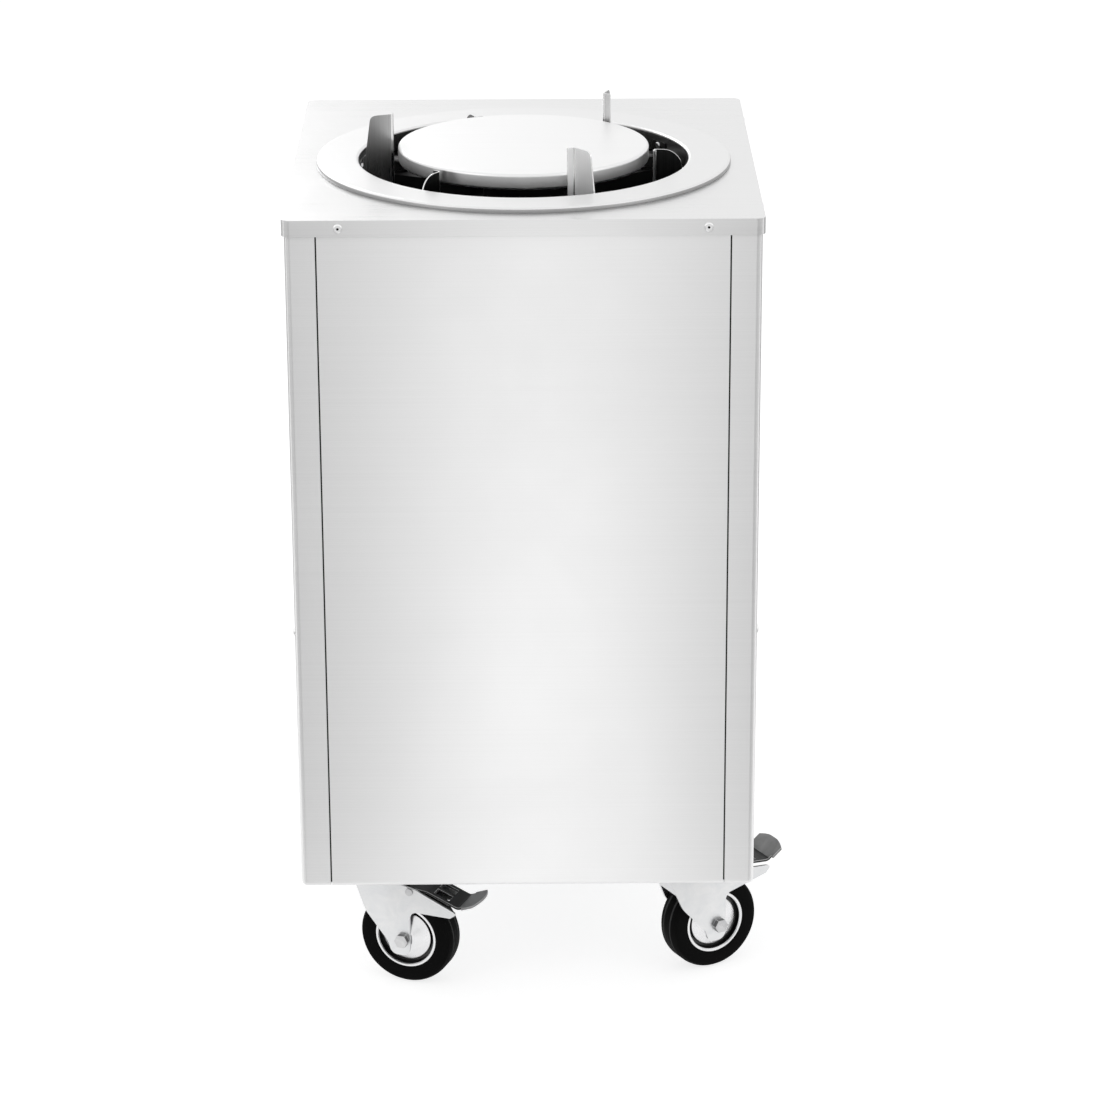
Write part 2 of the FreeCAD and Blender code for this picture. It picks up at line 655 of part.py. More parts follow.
def guide_blade(run, edge, angle):
    """Folded upright strip, trimmed to its side outline."""
    high = LID_TOP + TALL_RISE + PAST
    strip = bent_strip(run, GUIDE_SHEET, GUIDE_BEND, in_plan).extrude(V(0, 0, high - BASE_FLOOR))
    strip.translate(V(0, 0, BASE_FLOOR))
    reach = GUIDE_RETURN + GUIDE_SLANT + GUIDE_FLAT
    trim = outline(edge, in_section).extrude(V(0, 2 * reach, 0))
    trim.translate(V(0, -reach, 0))
    blade = turned(strip.common(trim), angle, WELL)
    holes = [rod(SCREW_RADIUS + SCREW_PLAY, seat - way * PAST, seat + way * (GUIDE_SHEET + PAST))
             for seat, way in screw_places()]
    return blade.cut(holes)


def tall_guide(angle):
    """Tall blade with a leaning web and a rounded outer corner at its top."""
    inner = GUIDE_MOUTH + GUIDE_SHEET / 2
    outer = SEAT_RADIUS - GUIDE_SHEET / 2
    half = GUIDE_FLAT / 2
    knee = -half - GUIDE_SLANT
    run = [(inner, knee - GUIDE_RETURN), (inner, knee), (outer, -half), (outer, half)]
    start = GUIDE_MOUTH - PAST
    end = SEAT_RADIUS + PAST
    edge = [(start, BASE_FLOOR, 0), (end, BASE_FLOOR, 0), (end, LID_TOP - BLADE_SHOULDER, 0),
            (COLLAR_RADIUS - TALL_FOOT_IN, LID_TOP + TALL_NECK, 0),
            (COLLAR_RADIUS - TALL_TOP_IN, LID_TOP + TALL_RISE - TALL_FALL, TALL_ROUND),
            (start, LID_TOP + TALL_RISE, 0)]
    return guide_blade(run, edge, angle)


def low_guide(angle):
    """Low blade with a quarter-round outer corner."""
    inner = GUIDE_MOUTH + GUIDE_SHEET / 2
    outer = SEAT_RADIUS - GUIDE_SHEET / 2
    run = [(inner, -GUIDE_RETURN), (inner, 0), (outer, 0), (outer, GUIDE_FLAT)]
    start = GUIDE_MOUTH - PAST
    end = SEAT_RADIUS + PAST
    edge_radius = COLLAR_RADIUS - LOW_EDGE_IN
    edge = [(start, BASE_FLOOR, 0), (end, BASE_FLOOR, 0), (end, LID_TOP - BLADE_SHOULDER, 0),
            (edge_radius, LID_TOP - BLADE_SHOULDER, 0),
            (edge_radius, LID_TOP + LOW_RISE, LOW_ROUND), (start, LID_TOP + LOW_RISE, 0)]
    return guide_blade(run, edge, angle)


def guide_screws():
    """Screw with a nut outside the collar, at each blade and each rod bracket."""
    screws = []
    for seat, way in screw_places():
        nut_seat = seat + way * (GUIDE_SHEET + GUIDE_SEAT + RING_SHEET + SCREW_PLAY)
        nut_end = nut_seat + way * NUT_HEIGHT
        head = rod(SCREW_HEAD_RADIUS, seat - way * SCREW_HEAD, seat)
        rim = [e for e in head.Edges if e.Curve.TypeId == "Part::GeomCircle"
               and (e.Curve.Center - seat).Length > SCREW_HEAD / 2]
        head = head.makeFillet(SCREW_DOME, rim)
        shank = rod(SCREW_RADIUS, seat, nut_end + way * PAST)
        screws.append(head.fuse(shank).fuse(hexagon(NUT_FLATS, nut_seat, nut_end)).removeSplitter())
    return screws


# Lift

def guide_rods():
    """Upright rods, thicker below the carriage's lowest place."""
    rods = []
    for angle in ROD_ANGLES:
        foot = around(angle, ROD_CIRCLE, 0)
        bar = upright(ROD_RADIUS, BASE_FLOOR, BRACKET_Z + GUIDE_SHEET, foot)
        stop = upright(ROD_RADIUS + ROD_SHOULDER, BASE_FLOOR, LOWER_STOP - BUFFER_HEIGHT, foot)
        rods.append(bar.fuse(stop).removeSplitter())
    return rods


def rod_brackets():
    """Angle tabs on the collar that hold the rods' upper ends."""
    outer = SEAT_RADIUS - GUIDE_SHEET / 2
    level = BRACKET_Z + GUIDE_SHEET / 2
    run = [(SEAT_RADIUS - BRACKET_REACH, level), (outer, level), (outer, LID_TOP - BLADE_SHOULDER)]
    tab = bent_strip(run, GUIDE_SHEET, GUIDE_BEND, in_section).extrude(V(0, BRACKET_WIDTH, 0))
    tab.translate(V(0, -BRACKET_WIDTH / 2, 0))
    tab = tab.cut(upright(ROD_RADIUS + RUN_PLAY, BRACKET_Z - PAST, BRACKET_Z + GUIDE_SHEET + PAST,
                          V(ROD_CIRCLE, 0, 0)))
    holes = [rod(SCREW_RADIUS + SCREW_PLAY, seat - way * PAST, seat + way * (GUIDE_SHEET + PAST))
             for seat, way in screw_places()]
    return [turned(tab, angle, WELL).cut(holes) for angle in ROD_ANGLES]


def stop_buffers():
    """Rubber rings that end the travel at the top and at the bottom."""
    rings = []
    for angle in ROD_ANGLES:
        for low in (BRACKET_Z - BUFFER_HEIGHT, LOWER_STOP - BUFFER_HEIGHT):
            foot = around(angle, ROD_CIRCLE, 0)
            ring = upright(BUFFER_RADIUS, low, low + BUFFER_HEIGHT, foot)
            bore = upright(ROD_RADIUS + RUN_PLAY, low - PAST, low + BUFFER_HEIGHT + PAST, foot)
            rings.append(ring.cut(bore))
    return rings


def spring_cup():
    """Shallow pressed dish that keeps the spring's foot in place."""
    outer = SPRING_OUTER + CUP_WALL - CUP_SHEET / 2
    level = BASE_FLOOR + CUP_SHEET / 2
    run = [(HUB_HOLE, level), (outer, level), (outer, BASE_FLOOR + CUP_HEIGHT)]
    cup = spun(bent_strip(run, CUP_SHEET, CUP_BEND, in_section))
    cup.translate(WELL)
    return cup


def carriage_spider():
    """Welded hub plate with three channel arms and a bush housing on each."""
    parts = [upright(HUB_RADIUS, HUB_BOTTOM, HUB_TOP)]
    start = POST_RADIUS + POST_FLANGE + PAST
    half = ARM_WIDTH / 2
    top = HUB_TOP + ARM_HEIGHT
    bores = [upright(HUB_HOLE, HUB_BOTTOM - PAST, HUB_TOP + PAST)]
    for angle in ROD_ANGLES:
        arm = box(start, -half, HUB_TOP, ROD_CIRCLE, half, top)
        inside = half - ARM_SHEET
        arm = arm.cut(box(start - PAST, -inside, HUB_TOP - PAST, ROD_CIRCLE, inside, top - ARM_SHEET))
        parts.append(turned(arm, angle))
        housing = upright(HOUSING_BORE + HOUSING_WALL, BUSH_BOTTOM, BUSH_TOP, V(ROD_CIRCLE, 0, 0))
        parts.append(turned(housing, angle))
        bore = upright(HOUSING_BORE, BUSH_BOTTOM - PAST, BUSH_TOP + PAST, V(ROD_CIRCLE, 0, 0))
        bores.append(turned(bore, angle))
    spider = parts[0].fuse(parts[1:]).removeSplitter().cut(bores)
    spider.translate(WELL)
    return spider.cut(platform_screw_holes())


def carriage_bushes():
    """Plain bearings that run on the rods."""
    bushes = []
    for angle in ROD_ANGLES:
        foot = around(angle, ROD_CIRCLE, 0)
        bush = upright(BUSH_RADIUS, BUSH_BOTTOM, BUSH_TOP, foot)
        bushes.append(bush.cut(upright(ROD_RADIUS + RUN_PLAY, BUSH_BOTTOM - PAST, BUSH_TOP + PAST, foot)))
    return bushes


def platform_post():
    """Flanged tube between the carriage and the platform."""
    tube = upright(POST_RADIUS, HUB_TOP, PLATFORM_UNDER, WELL)
    low_flange = upright(POST_RADIUS + POST_FLANGE, HUB_TOP, HUB_TOP + POST_FLANGE_SHEET, WELL)
    seat = PLATFORM_UNDER - POST_FLANGE_SHEET
    high_flange = upright(POST_RADIUS + POST_FLANGE, seat, PLATFORM_UNDER, WELL)
    bore = upright(POST_RADIUS - POST_WALL, HUB_TOP - PAST, PLATFORM_UNDER + PAST, WELL)
    return tube.fuse([low_flange, high_flange]).removeSplitter().cut([bore] + platform_screw_holes())


def platform_screw_places():
    """Points on the hub where the post is bolted down."""
    circle = POST_RADIUS + POST_FLANGE / 2
    return [around(angle + 60, circle, 0) for angle in ROD_ANGLES]


def platform_screw_holes():
    """Round cuts through the hub and the post's lower flange."""
    high = HUB_TOP + POST_FLANGE_SHEET + PAST
    return [upright(SCREW_RADIUS + SCREW_PLAY, HUB_BOTTOM - PAST, high, at)
            for at in platform_screw_places()]


def platform_screws():
    """Screws from below with a nut on the flange."""
    screws = []
    for at in platform_screw_places():
        flange_top = HUB_TOP + POST_FLANGE_SHEET
        head = upright(SCREW_HEAD_RADIUS, HUB_BOTTOM - SCREW_HEAD, HUB_BOTTOM, at)
        shank = upright(SCREW_RADIUS, HUB_BOTTOM, flange_top + NUT_HEIGHT + PAST, at)
        nut = hexagon(NUT_FLATS, at + V(0, 0, flange_top), at + V(0, 0, flange_top + NUT_HEIGHT))
        screws.append(head.fuse([shank, nut]).removeSplitter())
    return screws


def platform():
    """Round inverted pan that carries the plates."""
    half = PLATFORM_SHEET / 2
    outer = PLATFORM_RADIUS - half
    top = PLATFORM_TOP - half
    low = PLATFORM_TOP - PLATFORM_SKIRT + half
    run = [(0, top), (outer, top), (outer, low), (outer - PLATFORM_LIP, low)]
    pan = spun(bent_strip(run, PLATFORM_SHEET, PLATFORM_BEND, in_section))
    pan.translate(WELL)
    return pan


def spring_height(turn):
    """Height of the wire's middle: closed coils at both ends, an even pitch between them."""
    low = CUP_FLOOR + REST_GAP + WIRE_RADIUS
    high = HUB_BOTTOM - REST_GAP - WIRE_RADIUS
    closed = 2 * WIRE_RADIUS + CLOSED_GAP
    pitch = (high - low - 2 * closed) / (SPRING_TURNS - 2)
    if turn <= 1:
        return low + closed * turn
    if turn >= SPRING_TURNS - 1:
        return high - closed * (SPRING_TURNS - turn)
    return low + closed + pitch * (turn - 1)


def spring_point(turn):
    """Point on the spring's wire."""
    return around(360 * turn, SPRING_RADIUS, spring_height(turn))


def spring_direction(turn):
    """Direction of the wire, taken level where the spring begins and ends."""
    angle = 2 * math.pi * turn
    step = 1 / TURN_SPANS
    rise = (spring_height(min(turn + step, SPRING_TURNS)) - spring_height(max(turn - step, 0))) / (2 * step)
    way = V(-math.sin(angle), math.cos(angle), rise / (2 * math.pi * SPRING_RADIUS))
    way.normalize()
    return way


def biarc(start, start_way, end, end_way):
    """Two arcs that leave one point and reach the other in the given directions."""
    gap = end - start
    both = start_way + end_way
    along = gap.dot(both)
    spread = 2 * (1 - start_way.dot(end_way))
    reach = (-along + math.sqrt(along ** 2 + spread * gap.dot(gap))) / spread
    joint = (start + end + (start_way - end_way) * reach) / 2
    arcs = []
    for first, corner, last in ((start, start + start_way * reach, joint),
                                (joint, end - end_way * reach, end)):
        chord = last - first
        half_turn = (corner - first).getAngle(chord)
        rise = corner - (first + last) / 2
        rise.normalize()
        crown = (first + last) / 2 + rise * (chord.Length / 2 * math.tan(half_turn / 2))
        arcs.append(Part.Arc(first, crown, last).toShape())
    return arcs


def lift_spring():
    """Compression spring as one unbroken wire on a chain of arcs."""
    edges = []
    for span in range(TURN_SPANS * SPRING_TURNS):
        here = span / TURN_SPANS
        there = (span + 1) / TURN_SPANS
        edges += biarc(spring_point(here), spring_direction(here),
                       spring_point(there), spring_direction(there))
    path = Part.Wire(edges)
    section = Part.Wire(Part.makeCircle(WIRE_RADIUS, spring_point(0), spring_direction(0)))
    sweep = Part.BRepOffsetAPI.MakePipeShell(path)
    sweep.add(section)
    sweep.build()
    sweep.makeSolid()
    wire = sweep.shape()
    expected = math.pi * WIRE_RADIUS ** 2 * path.Length
    samples = [spring_point(step / TURN_SAMPLES) for step in range(TURN_SAMPLES * SPRING_TURNS + 1)]
    near = TURN_SAMPLES * 3 // 4
    far = TURN_SAMPLES * 5 // 4
    gap = min((samples[i] - samples[j]).Length for i in range(len(samples) - near)
              for j in range(i + near, min(i + far, len(samples)))) - 2 * WIRE_RADIUS
    print("spring gap to itself", round(gap, 3), "volume share", round(wire.Volume / expected, 5))
    return wire


# Heater

def heating_element():
    """Tubular ring whose two ends leave through the liner's window."""
    half_gap = HEATER_GAP / 2
    bend_x = half_gap + HEATER_BEND
    reach = HEATER_RADIUS + HEATER_BEND
    bend_y = math.sqrt(reach ** 2 - bend_x ** 2)
    meet_x = bend_x * HEATER_RADIUS / reach
    meet_y = bend_y * HEATER_RADIUS / reach
    end_y = LINER_OUTER + HEATER_TAIL
    mid = math.radians(180) + math.atan2(bend_y, bend_x) / 2
    bow_x = bend_x + HEATER_BEND * math.cos(mid)
    bow_y = bend_y + HEATER_BEND * math.sin(mid)

    def at(x, y):
        return WELL + V(x, y, HEATER_Z)

    path = Part.Wire([
        Part.LineSegment(at(half_gap, end_y), at(half_gap, bend_y)).toShape(),
        Part.Arc(at(half_gap, bend_y), at(bow_x, bow_y), at(meet_x, meet_y)).toShape(),
        Part.Arc(at(meet_x, meet_y), at(0, -HEATER_RADIUS), at(-meet_x, meet_y)).toShape(),
        Part.Arc(at(-meet_x, meet_y), at(-bow_x, bow_y), at(-half_gap, bend_y)).toShape(),
        Part.LineSegment(at(-half_gap, bend_y), at(-half_gap, end_y)).toShape(),
    ])
    section = Part.Wire(Part.makeCircle(HEATER_TUBE, at(half_gap, end_y), V(0, 1, 0)))
    return path.makePipeShell([section], True, False)


def heater_brackets():
    """Angle feet with an open notch for the tube."""
    middle = HEATER_BRACKET_SHEET / 2
    run = [(HEATER_BRACKET_FOOT, BASE_FLOOR + middle), (0, BASE_FLOOR + middle), (0, HEATER_Z)]
    half = HEATER_BRACKET_WIDTH / 2
    foot = bent_strip(run, HEATER_BRACKET_SHEET, HEATER_BRACKET_SHEET, in_section)
    bracket = foot.extrude(V(0, HEATER_BRACKET_WIDTH, 0))
    bracket.translate(V(0, HEATER_RADIUS - half, 0))
    centre = V(0, HEATER_RADIUS, HEATER_Z)
    reach = V(HEATER_BRACKET_SHEET + PAST, 0, 0)
    bracket = bracket.cut(rod(HEATER_TUBE + LOOSE_PLAY, centre - reach, centre + reach))
    return [turned(bracket, angle - 90, WELL) for angle in HEATER_BRACKET_ANGLES]


def terminal_block():
    """Insulating block behind the window that holds the heater's ends."""
    half = LINER_WINDOW_WIDTH / 2
    front = math.sqrt(LINER_OUTER ** 2 - half ** 2) + LOOSE_PLAY
    rear = LINER_OUTER + HEATER_TAIL + TERMINAL_COVER
    reach = half + TERMINAL_LAP
    block = box(-reach, front, HEATER_Z - TERMINAL_HEIGHT / 2, reach, rear, HEATER_Z + TERMINAL_HEIGHT / 2)
    uprights = [e for e in block.Edges if e.BoundBox.ZLength > TERMINAL_HEIGHT / 2]
    block = block.makeFillet(TERMINAL_ROUND, uprights)
    for side in (-1, 1):
        start = V(side * HEATER_GAP / 2, front - PAST, HEATER_Z)
        end = V(side * HEATER_GAP / 2, rear - TERMINAL_COVER + LOOSE_PLAY, HEATER_Z)
        block = block.cut(rod(HEATER_TUBE + LOOSE_PLAY, start, end))
    block.translate(WELL)
    return block


# Rear controls. In their own frame X runs right and Y up for someone behind the cabinet,
# Z points out of the cabinet, and the origin is on the rear panel's outer face.

REAR = FreeCAD.Placement(V(0, HALF_DEPTH, LID_TOP - CONTROL_BELOW_DECK),
                         FreeCAD.Rotation(V(-1, 0, 0), V(0, 0, 1), V(0, 1, 0), "XYZ"))
PAN_SEAT = -PAN_DEPTH       # front face of the pan's floor
PAN_BACK = -PAN_DEPTH - SHEET


def at_rear(shape):
    """Copy moved from the controls' frame to the rear panel."""
    copy = shape.copy()
    copy.Placement = REAR.multiply(copy.Placement)
    return copy


def rounded_plate(half_x, half_y, low, high, corner):
    """Flat plate with rounded corners."""
    corners = [(x * half_x, y * half_y, corner) for x, y in ((-1, -1), (1, -1), (1, 1), (-1, 1))]
    plate = outline(corners, in_plan).extrude(V(0, 0, high - low))
    plate.translate(V(0, 0, low))
    return plate


def control_pan():
    """Recess for the controls, with a flange on the rear panel."""
    half_x = PAN_WIDTH / 2
    half_y = PAN_HEIGHT / 2
    outer = rounded_block(half_x + SHEET, half_y + SHEET, PAN_BACK, SHEET,
                          PAN_CORNER + SHEET, PAN_FOLD + SHEET, PAN_BACK)
    flange = rounded_plate(half_x + PAN_FLANGE, half_y + PAN_FLANGE, 0, SHEET, PAN_CORNER)
    inner = rounded_block(half_x, half_y, PAN_SEAT, SHEET + PAST, PAN_CORNER, PAN_FOLD, PAN_SEAT)
    low = PAN_BACK - PAST
    high = PAN_SEAT + PAST
    holes = [upright(SHAFT_RADIUS + LOOSE_PLAY, low, high, V(KNOB_X, 0, 0)),
             upright(LAMP_RADIUS - LAMP_FLANGE + LOOSE_PLAY, low, high, V(LAMP_X, 0, 0)),
             upright(GLAND_THREAD + LOOSE_PLAY, low, high, V(GLAND_X, 0, 0))]
    half_w = SWITCH_WIDTH / 2 + LOOSE_PLAY
    half_h = SWITCH_HEIGHT / 2 + LOOSE_PLAY
    holes.append(box(SWITCH_X - half_w, -half_h, low, SWITCH_X + half_w, half_h, high))
    return at_rear(outer.fuse(flange).removeSplitter().cut([inner] + holes))


def control_opening():
    """Cut in the rear panel that the pan passes through."""
    half_x = PAN_WIDTH / 2 + SHEET + PAN_PLAY
    half_y = PAN_HEIGHT / 2 + SHEET + PAN_PLAY
    return at_rear(box(-half_x, -half_y, -SHEET - PAST, half_x, half_y, PAST))


def thermostat_body():
    """Thermostat behind the pan, with its shaft in front."""
    half = THERMOSTAT_SIZE / 2
    body = rounded_plate(half, half, PAN_BACK - THERMOSTAT_DEPTH, PAN_BACK, THERMOSTAT_ROUND)
    shaft = upright(SHAFT_RADIUS, PAN_BACK, PAN_SEAT + KNOB_LIFT + KNOB_HEIGHT - KNOB_CROWN - LOOSE_PLAY)
    body = body.fuse(shaft).removeSplitter()
    body.translate(V(KNOB_X, 0, 0))
    return at_rear(body)


def thermostat_knob():
    """Round skirt with a straight grip across it and a blind bore for the shaft."""
    low = PAN_SEAT + KNOB_LIFT
    high = low + KNOB_HEIGHT
    face = low + KNOB_SKIRT
    half = [(0, low, 0), (KNOB_RADIUS, low, 0), (KNOB_RADIUS, face, KNOB_SKIRT_ROUND), (0, face, 0)]
    skirt = spun(outline(half, in_section))
    reach = KNOB_RADIUS - KNOB_GRIP_INSET
    grip = rounded_plate(KNOB_GRIP_WIDTH / 2, reach, low, high, KNOB_GRIP_CORNER)
    top = [e for e in grip.Edges if e.BoundBox.ZMin > high - TINY]
    grip = grip.makeFillet(KNOB_GRIP_ROUND, top)
    knob = skirt.fuse(grip).removeSplitter()
    knob = knob.cut(upright(SHAFT_RADIUS + RUN_PLAY, low - PAST, high - KNOB_CROWN))
    knob.translate(V(KNOB_X, 0, 0))
    return at_rear(knob)


def pilot_lamp():
    """Domed lamp through the pan."""
    stem = LAMP_RADIUS - LAMP_FLANGE
    half = [(0, PAN_SEAT - LAMP_BODY, 0), (stem, PAN_SEAT - LAMP_BODY, 0), (stem, PAN_SEAT, 0),
            (LAMP_RADIUS, PAN_SEAT, 0), (LAMP_RADIUS, PAN_SEAT + LAMP_RISE, LAMP_DOME),
            (0, PAN_SEAT + LAMP_RISE, 0)]
    lamp = spun(outline(half, in_section))
    lamp.translate(V(LAMP_X, 0, 0))
    return at_rear(lamp)


ROCKER_Z = PAN_SEAT + SWITCH_RISE - ROCKER_SINK


def rocker_pin(radius, reach):
    """Pivot of the rocker, across the switch."""
    return rod(radius, V(-reach, 0, ROCKER_Z), V(reach, 0, ROCKER_Z))


def switch_housing():
    """Framed socket of the rocker, through the pan."""
    half_w = SWITCH_WIDTH / 2
    half_h = SWITCH_HEIGHT / 2
    body = box(-half_w, -half_h, PAN_SEAT - SWITCH_BODY, half_w, half_h, PAN_SEAT)
    frame = rounded_plate(half_w + SWITCH_FRAME, half_h + SWITCH_FRAME, PAN_SEAT, PAN_SEAT + SWITCH_RISE,
                          SWITCH_FRAME)
    pocket = box(-half_w + SWITCH_WALL, -half_h + SWITCH_WALL, ROCKER_Z - ROCKER_DEPTH - ROCKER_PLAY - PAST,
                 half_w - SWITCH_WALL, half_h - SWITCH_WALL, PAN_SEAT + SWITCH_RISE + PAST)
    pivot = rocker_pin(ROCKER_PIN + RUN_PLAY, half_w - SWITCH_WALL + ROCKER_PIN_HOLD + ROCKER_PLAY)
    housing = body.fuse(frame).removeSplitter().cut([pocket, pivot])
    housing.translate(V(SWITCH_X, 0, 0))
    return at_rear(housing)


def switch_rocker():
    """Two-sided rocker, tilted to its off side."""
    half_w = SWITCH_WIDTH / 2 - SWITCH_WALL - ROCKER_PLAY
    half_h = SWITCH_HEIGHT / 2 - SWITCH_WALL - ROCKER_END_PLAY
    side = [(-half_h, ROCKER_Z - ROCKER_EDGE, 0), (0, ROCKER_Z - ROCKER_DEPTH, ROCKER_HEEL_ROUND),
            (half_h, ROCKER_Z - ROCKER_EDGE, 0), (half_h, ROCKER_Z + ROCKER_RISE, ROCKER_TIP_ROUND),
            (0, ROCKER_Z + ROCKER_RISE - ROCKER_DISH, ROCKER_DISH_ROUND),
            (-half_h, ROCKER_Z + ROCKER_RISE, ROCKER_TIP_ROUND)]
    rocker = outline(side, lambda a, b: V(-half_w, a, b)).extrude(V(2 * half_w, 0, 0))
    reach = SWITCH_WIDTH / 2 - SWITCH_WALL + ROCKER_PIN_HOLD
    rocker = rocker.fuse(rocker_pin(ROCKER_PIN, reach)).removeSplitter()
    rocker.rotate(V(0, 0, ROCKER_Z), V(1, 0, 0), ROCKER_TILT)
    rocker.translate(V(SWITCH_X, 0, 0))
    return at_rear(rocker)


def cord_gland():
    """Screwed gland for a supply cord, and its nut behind the pan."""
    top = PAN_SEAT + GLAND_RISE
    seal = top - GLAND_SEAL
    radius = GLAND_FLATS / 2 - GLAND_DOME_INSET
    grip = hexagon(GLAND_FLATS, V(0, 0, PAN_SEAT), V(0, 0, PAN_SEAT + GLAND_GRIP))
    dome = [(0, PAN_SEAT, 0), (radius, PAN_SEAT, 0), (radius, top, GLAND_DOME_ROUND), (0, top, 0)]
    low = PAN_BACK - GLAND_NUT - 2 * PAST
    body = grip.fuse([spun(outline(dome, in_section)), upright(GLAND_THREAD, low, PAN_SEAT)])
    body = body.removeSplitter().cut([upright(GLAND_BORE, seal - PAST, top + PAST),
                                      upright(GLAND_PASSAGE, low - PAST, seal)])
    nut = hexagon(GLAND_FLATS, V(0, 0, PAN_BACK - GLAND_NUT), V(0, 0, PAN_BACK))
    nut = nut.cut(upright(GLAND_THREAD + RUN_PLAY, PAN_BACK - GLAND_NUT - PAST, PAN_BACK + PAST))
    for piece in (body, nut):
        piece.translate(V(GLAND_X, 0, 0))
    return [at_rear(body), at_rear(nut)]


# Castors

def kingpin_places():
    """Foot of each castor's swivel axis."""
    return [V(side * CASTOR_X, end * CASTOR_Y, 0) for name, side, end, angle, tilt in CASTORS]


def bolt_offsets():
    """Bolt pattern of a castor's plate."""
    return [V(x * BOLT_LENGTHWISE / 2, y * BOLT_CROSSWISE / 2, 0) for x in (-1, 1) for y in (-1, 1)]


def bolt_places():
    """All castor bolts in plan."""
    return [foot + shift for foot in kingpin_places() for shift in bolt_offsets()]


def castor_plate():
    """Top plate with the upper half of the swivel race."""
    plate = rounded_plate(PLATE_LENGTH / 2, PLATE_WIDTH / 2, PLATE_BOTTOM, CASTOR_HEIGHT, PLATE_CORNER)
    race = [(0, PLATE_BOTTOM, 0), (RACE_RADIUS + RACE_DEPTH, PLATE_BOTTOM, 0),
            (RACE_RADIUS, RACE_BOTTOM, RACE_ROUND), (0, RACE_BOTTOM, 0)]
    plate = plate.fuse(spun(outline(race, in_section))).removeSplitter()
    holes = [upright(BOLT_RADIUS + BOLT_PLAY, PLATE_BOTTOM - PAST, CASTOR_HEIGHT + PAST, shift)
             for shift in bolt_offsets()]
    holes.append(upright(KINGPIN_RADIUS + RUN_PLAY, RACE_BOTTOM - PAST, CASTOR_HEIGHT + PAST))
    return plate.cut(holes)


def castor_bolts():
    """Bolts from below, with their nuts on the base floor."""
    bolts = []
    for at in bolt_places():
        head = hexagon(BOLT_FLATS, at + V(0, 0, PLATE_BOTTOM - BOLT_HEAD), at + V(0, 0, PLATE_BOTTOM))
        nut = hexagon(BOLT_FLATS, at + V(0, 0, BASE_FLOOR), at + V(0, 0, BASE_FLOOR + BOLT_NUT))
        shank = upright(BOLT_RADIUS, PLATE_BOTTOM, BASE_FLOOR + BOLT_NUT + BOLT_TAIL, at)
        bolts.append(head.fuse([shank, nut]).removeSplitter())
    return bolts


def kingpin():
    """Swivel rivet with its head under the fork's crown."""
    seat = CROWN_BOTTOM - REST_GAP
    half = [(0, seat - KINGPIN_HEAD, 0), (KINGPIN_HEAD_RADIUS, seat - KINGPIN_HEAD, KINGPIN_ROUND),
            (KINGPIN_HEAD_RADIUS, seat, 0), (KINGPIN_RADIUS, seat, 0),
            (KINGPIN_RADIUS, CASTOR_HEIGHT - REST_GAP, 0), (0, CASTOR_HEIGHT - REST_GAP, 0)]
    return spun(outline(half, in_section))


def on_axle(a, b):
    """Outline plane of the wheel: a from the axle outwards, b along the axle."""
    return V(TRAIL + a, b, AXLE_Z)


def wheel_turn(half):
    """Full turn of a wheel section round the axle."""
    return spun(outline(half, on_axle), V(TRAIL, 0, AXLE_Z), V(0, 1, 0))


def across_fork(radius, x, z, reach):
    """Round bar across the fork."""
    return rod(radius, V(x, -reach, z), V(x, reach, z))


PIVOT_Z = (AXLE_Z + math.sqrt(WHEEL_RADIUS ** 2 - (TRAIL - PEDAL_PIVOT_X) ** 2)
           + PEDAL_PIVOT_CLEAR + PEDAL_BARREL)


def fork_cheek(tilt):
    """Cheek on the +Y side: its front part leans inwards, its guard is tilted up about the pedal's pin."""
    rear = TRAIL + WING_REACH
    low = AXLE_Z + WING_LOW
    guard = [V(rear - WING_TIP_SLANT, 0, low), V(rear, 0, low + WING_NOSE),
             V(rear - WING_TOP_SLANT, 0, low + WING_TIP)]
    about_pin = FreeCAD.Placement(V(0, 0, 0), FreeCAD.Rotation(V(0, 1, 0), -tilt),
                                  V(PEDAL_PIVOT_X, 0, PIVOT_Z))
    guard = [about_pin.multVec(corner) for corner in guard]
    foot = AXLE_Z - FORK_LOBE_DROP
    back = TRAIL + FORK_LOBE_REAR
    side = [(-CROWN_FRONT, CROWN_TOP, 0),
            (-FORK_WAIST, AXLE_Z + FORK_WAIST_HEIGHT, FORK_WAIST_ROUND),
            (TRAIL - FORK_TOE, AXLE_Z - FORK_TOE_DROP, FORK_LOBE_ROUND),
            (TRAIL - FORK_LOBE_FRONT, foot, FORK_LOBE_ROUND),
            (back, foot, FORK_LOBE_ROUND),
            (back, AXLE_Z + WING_NOTCH, WING_NOTCH_ROUND)]
    side += [(corner.x, corner.z, WING_ROUND) for corner in guard]
    side += [(PEDAL_PIVOT_X + WING_SHOULDER, PIVOT_Z + WING_SHOULDER_RISE, WING_SHOULDER_ROUND),
             (FORK_CREASE, CROWN_TOP, 0)]
    plate = outline(side, in_section).extrude(V(0, FORK_SHEET, 0))
    plate.translate(V(0, FORK_INNER, 0))
    front_half = box(-CROWN_FRONT - PAST, 0, 0, FORK_CREASE, FORK_OUTER + PAST, CASTOR_HEIGHT)
    front = plate.common(front_half)
    front.rotate(V(FORK_CREASE, FORK_OUTER, 0), V(0, 0, 1), FORK_LEAN)
    return plate.cut(front_half).fuse(front)


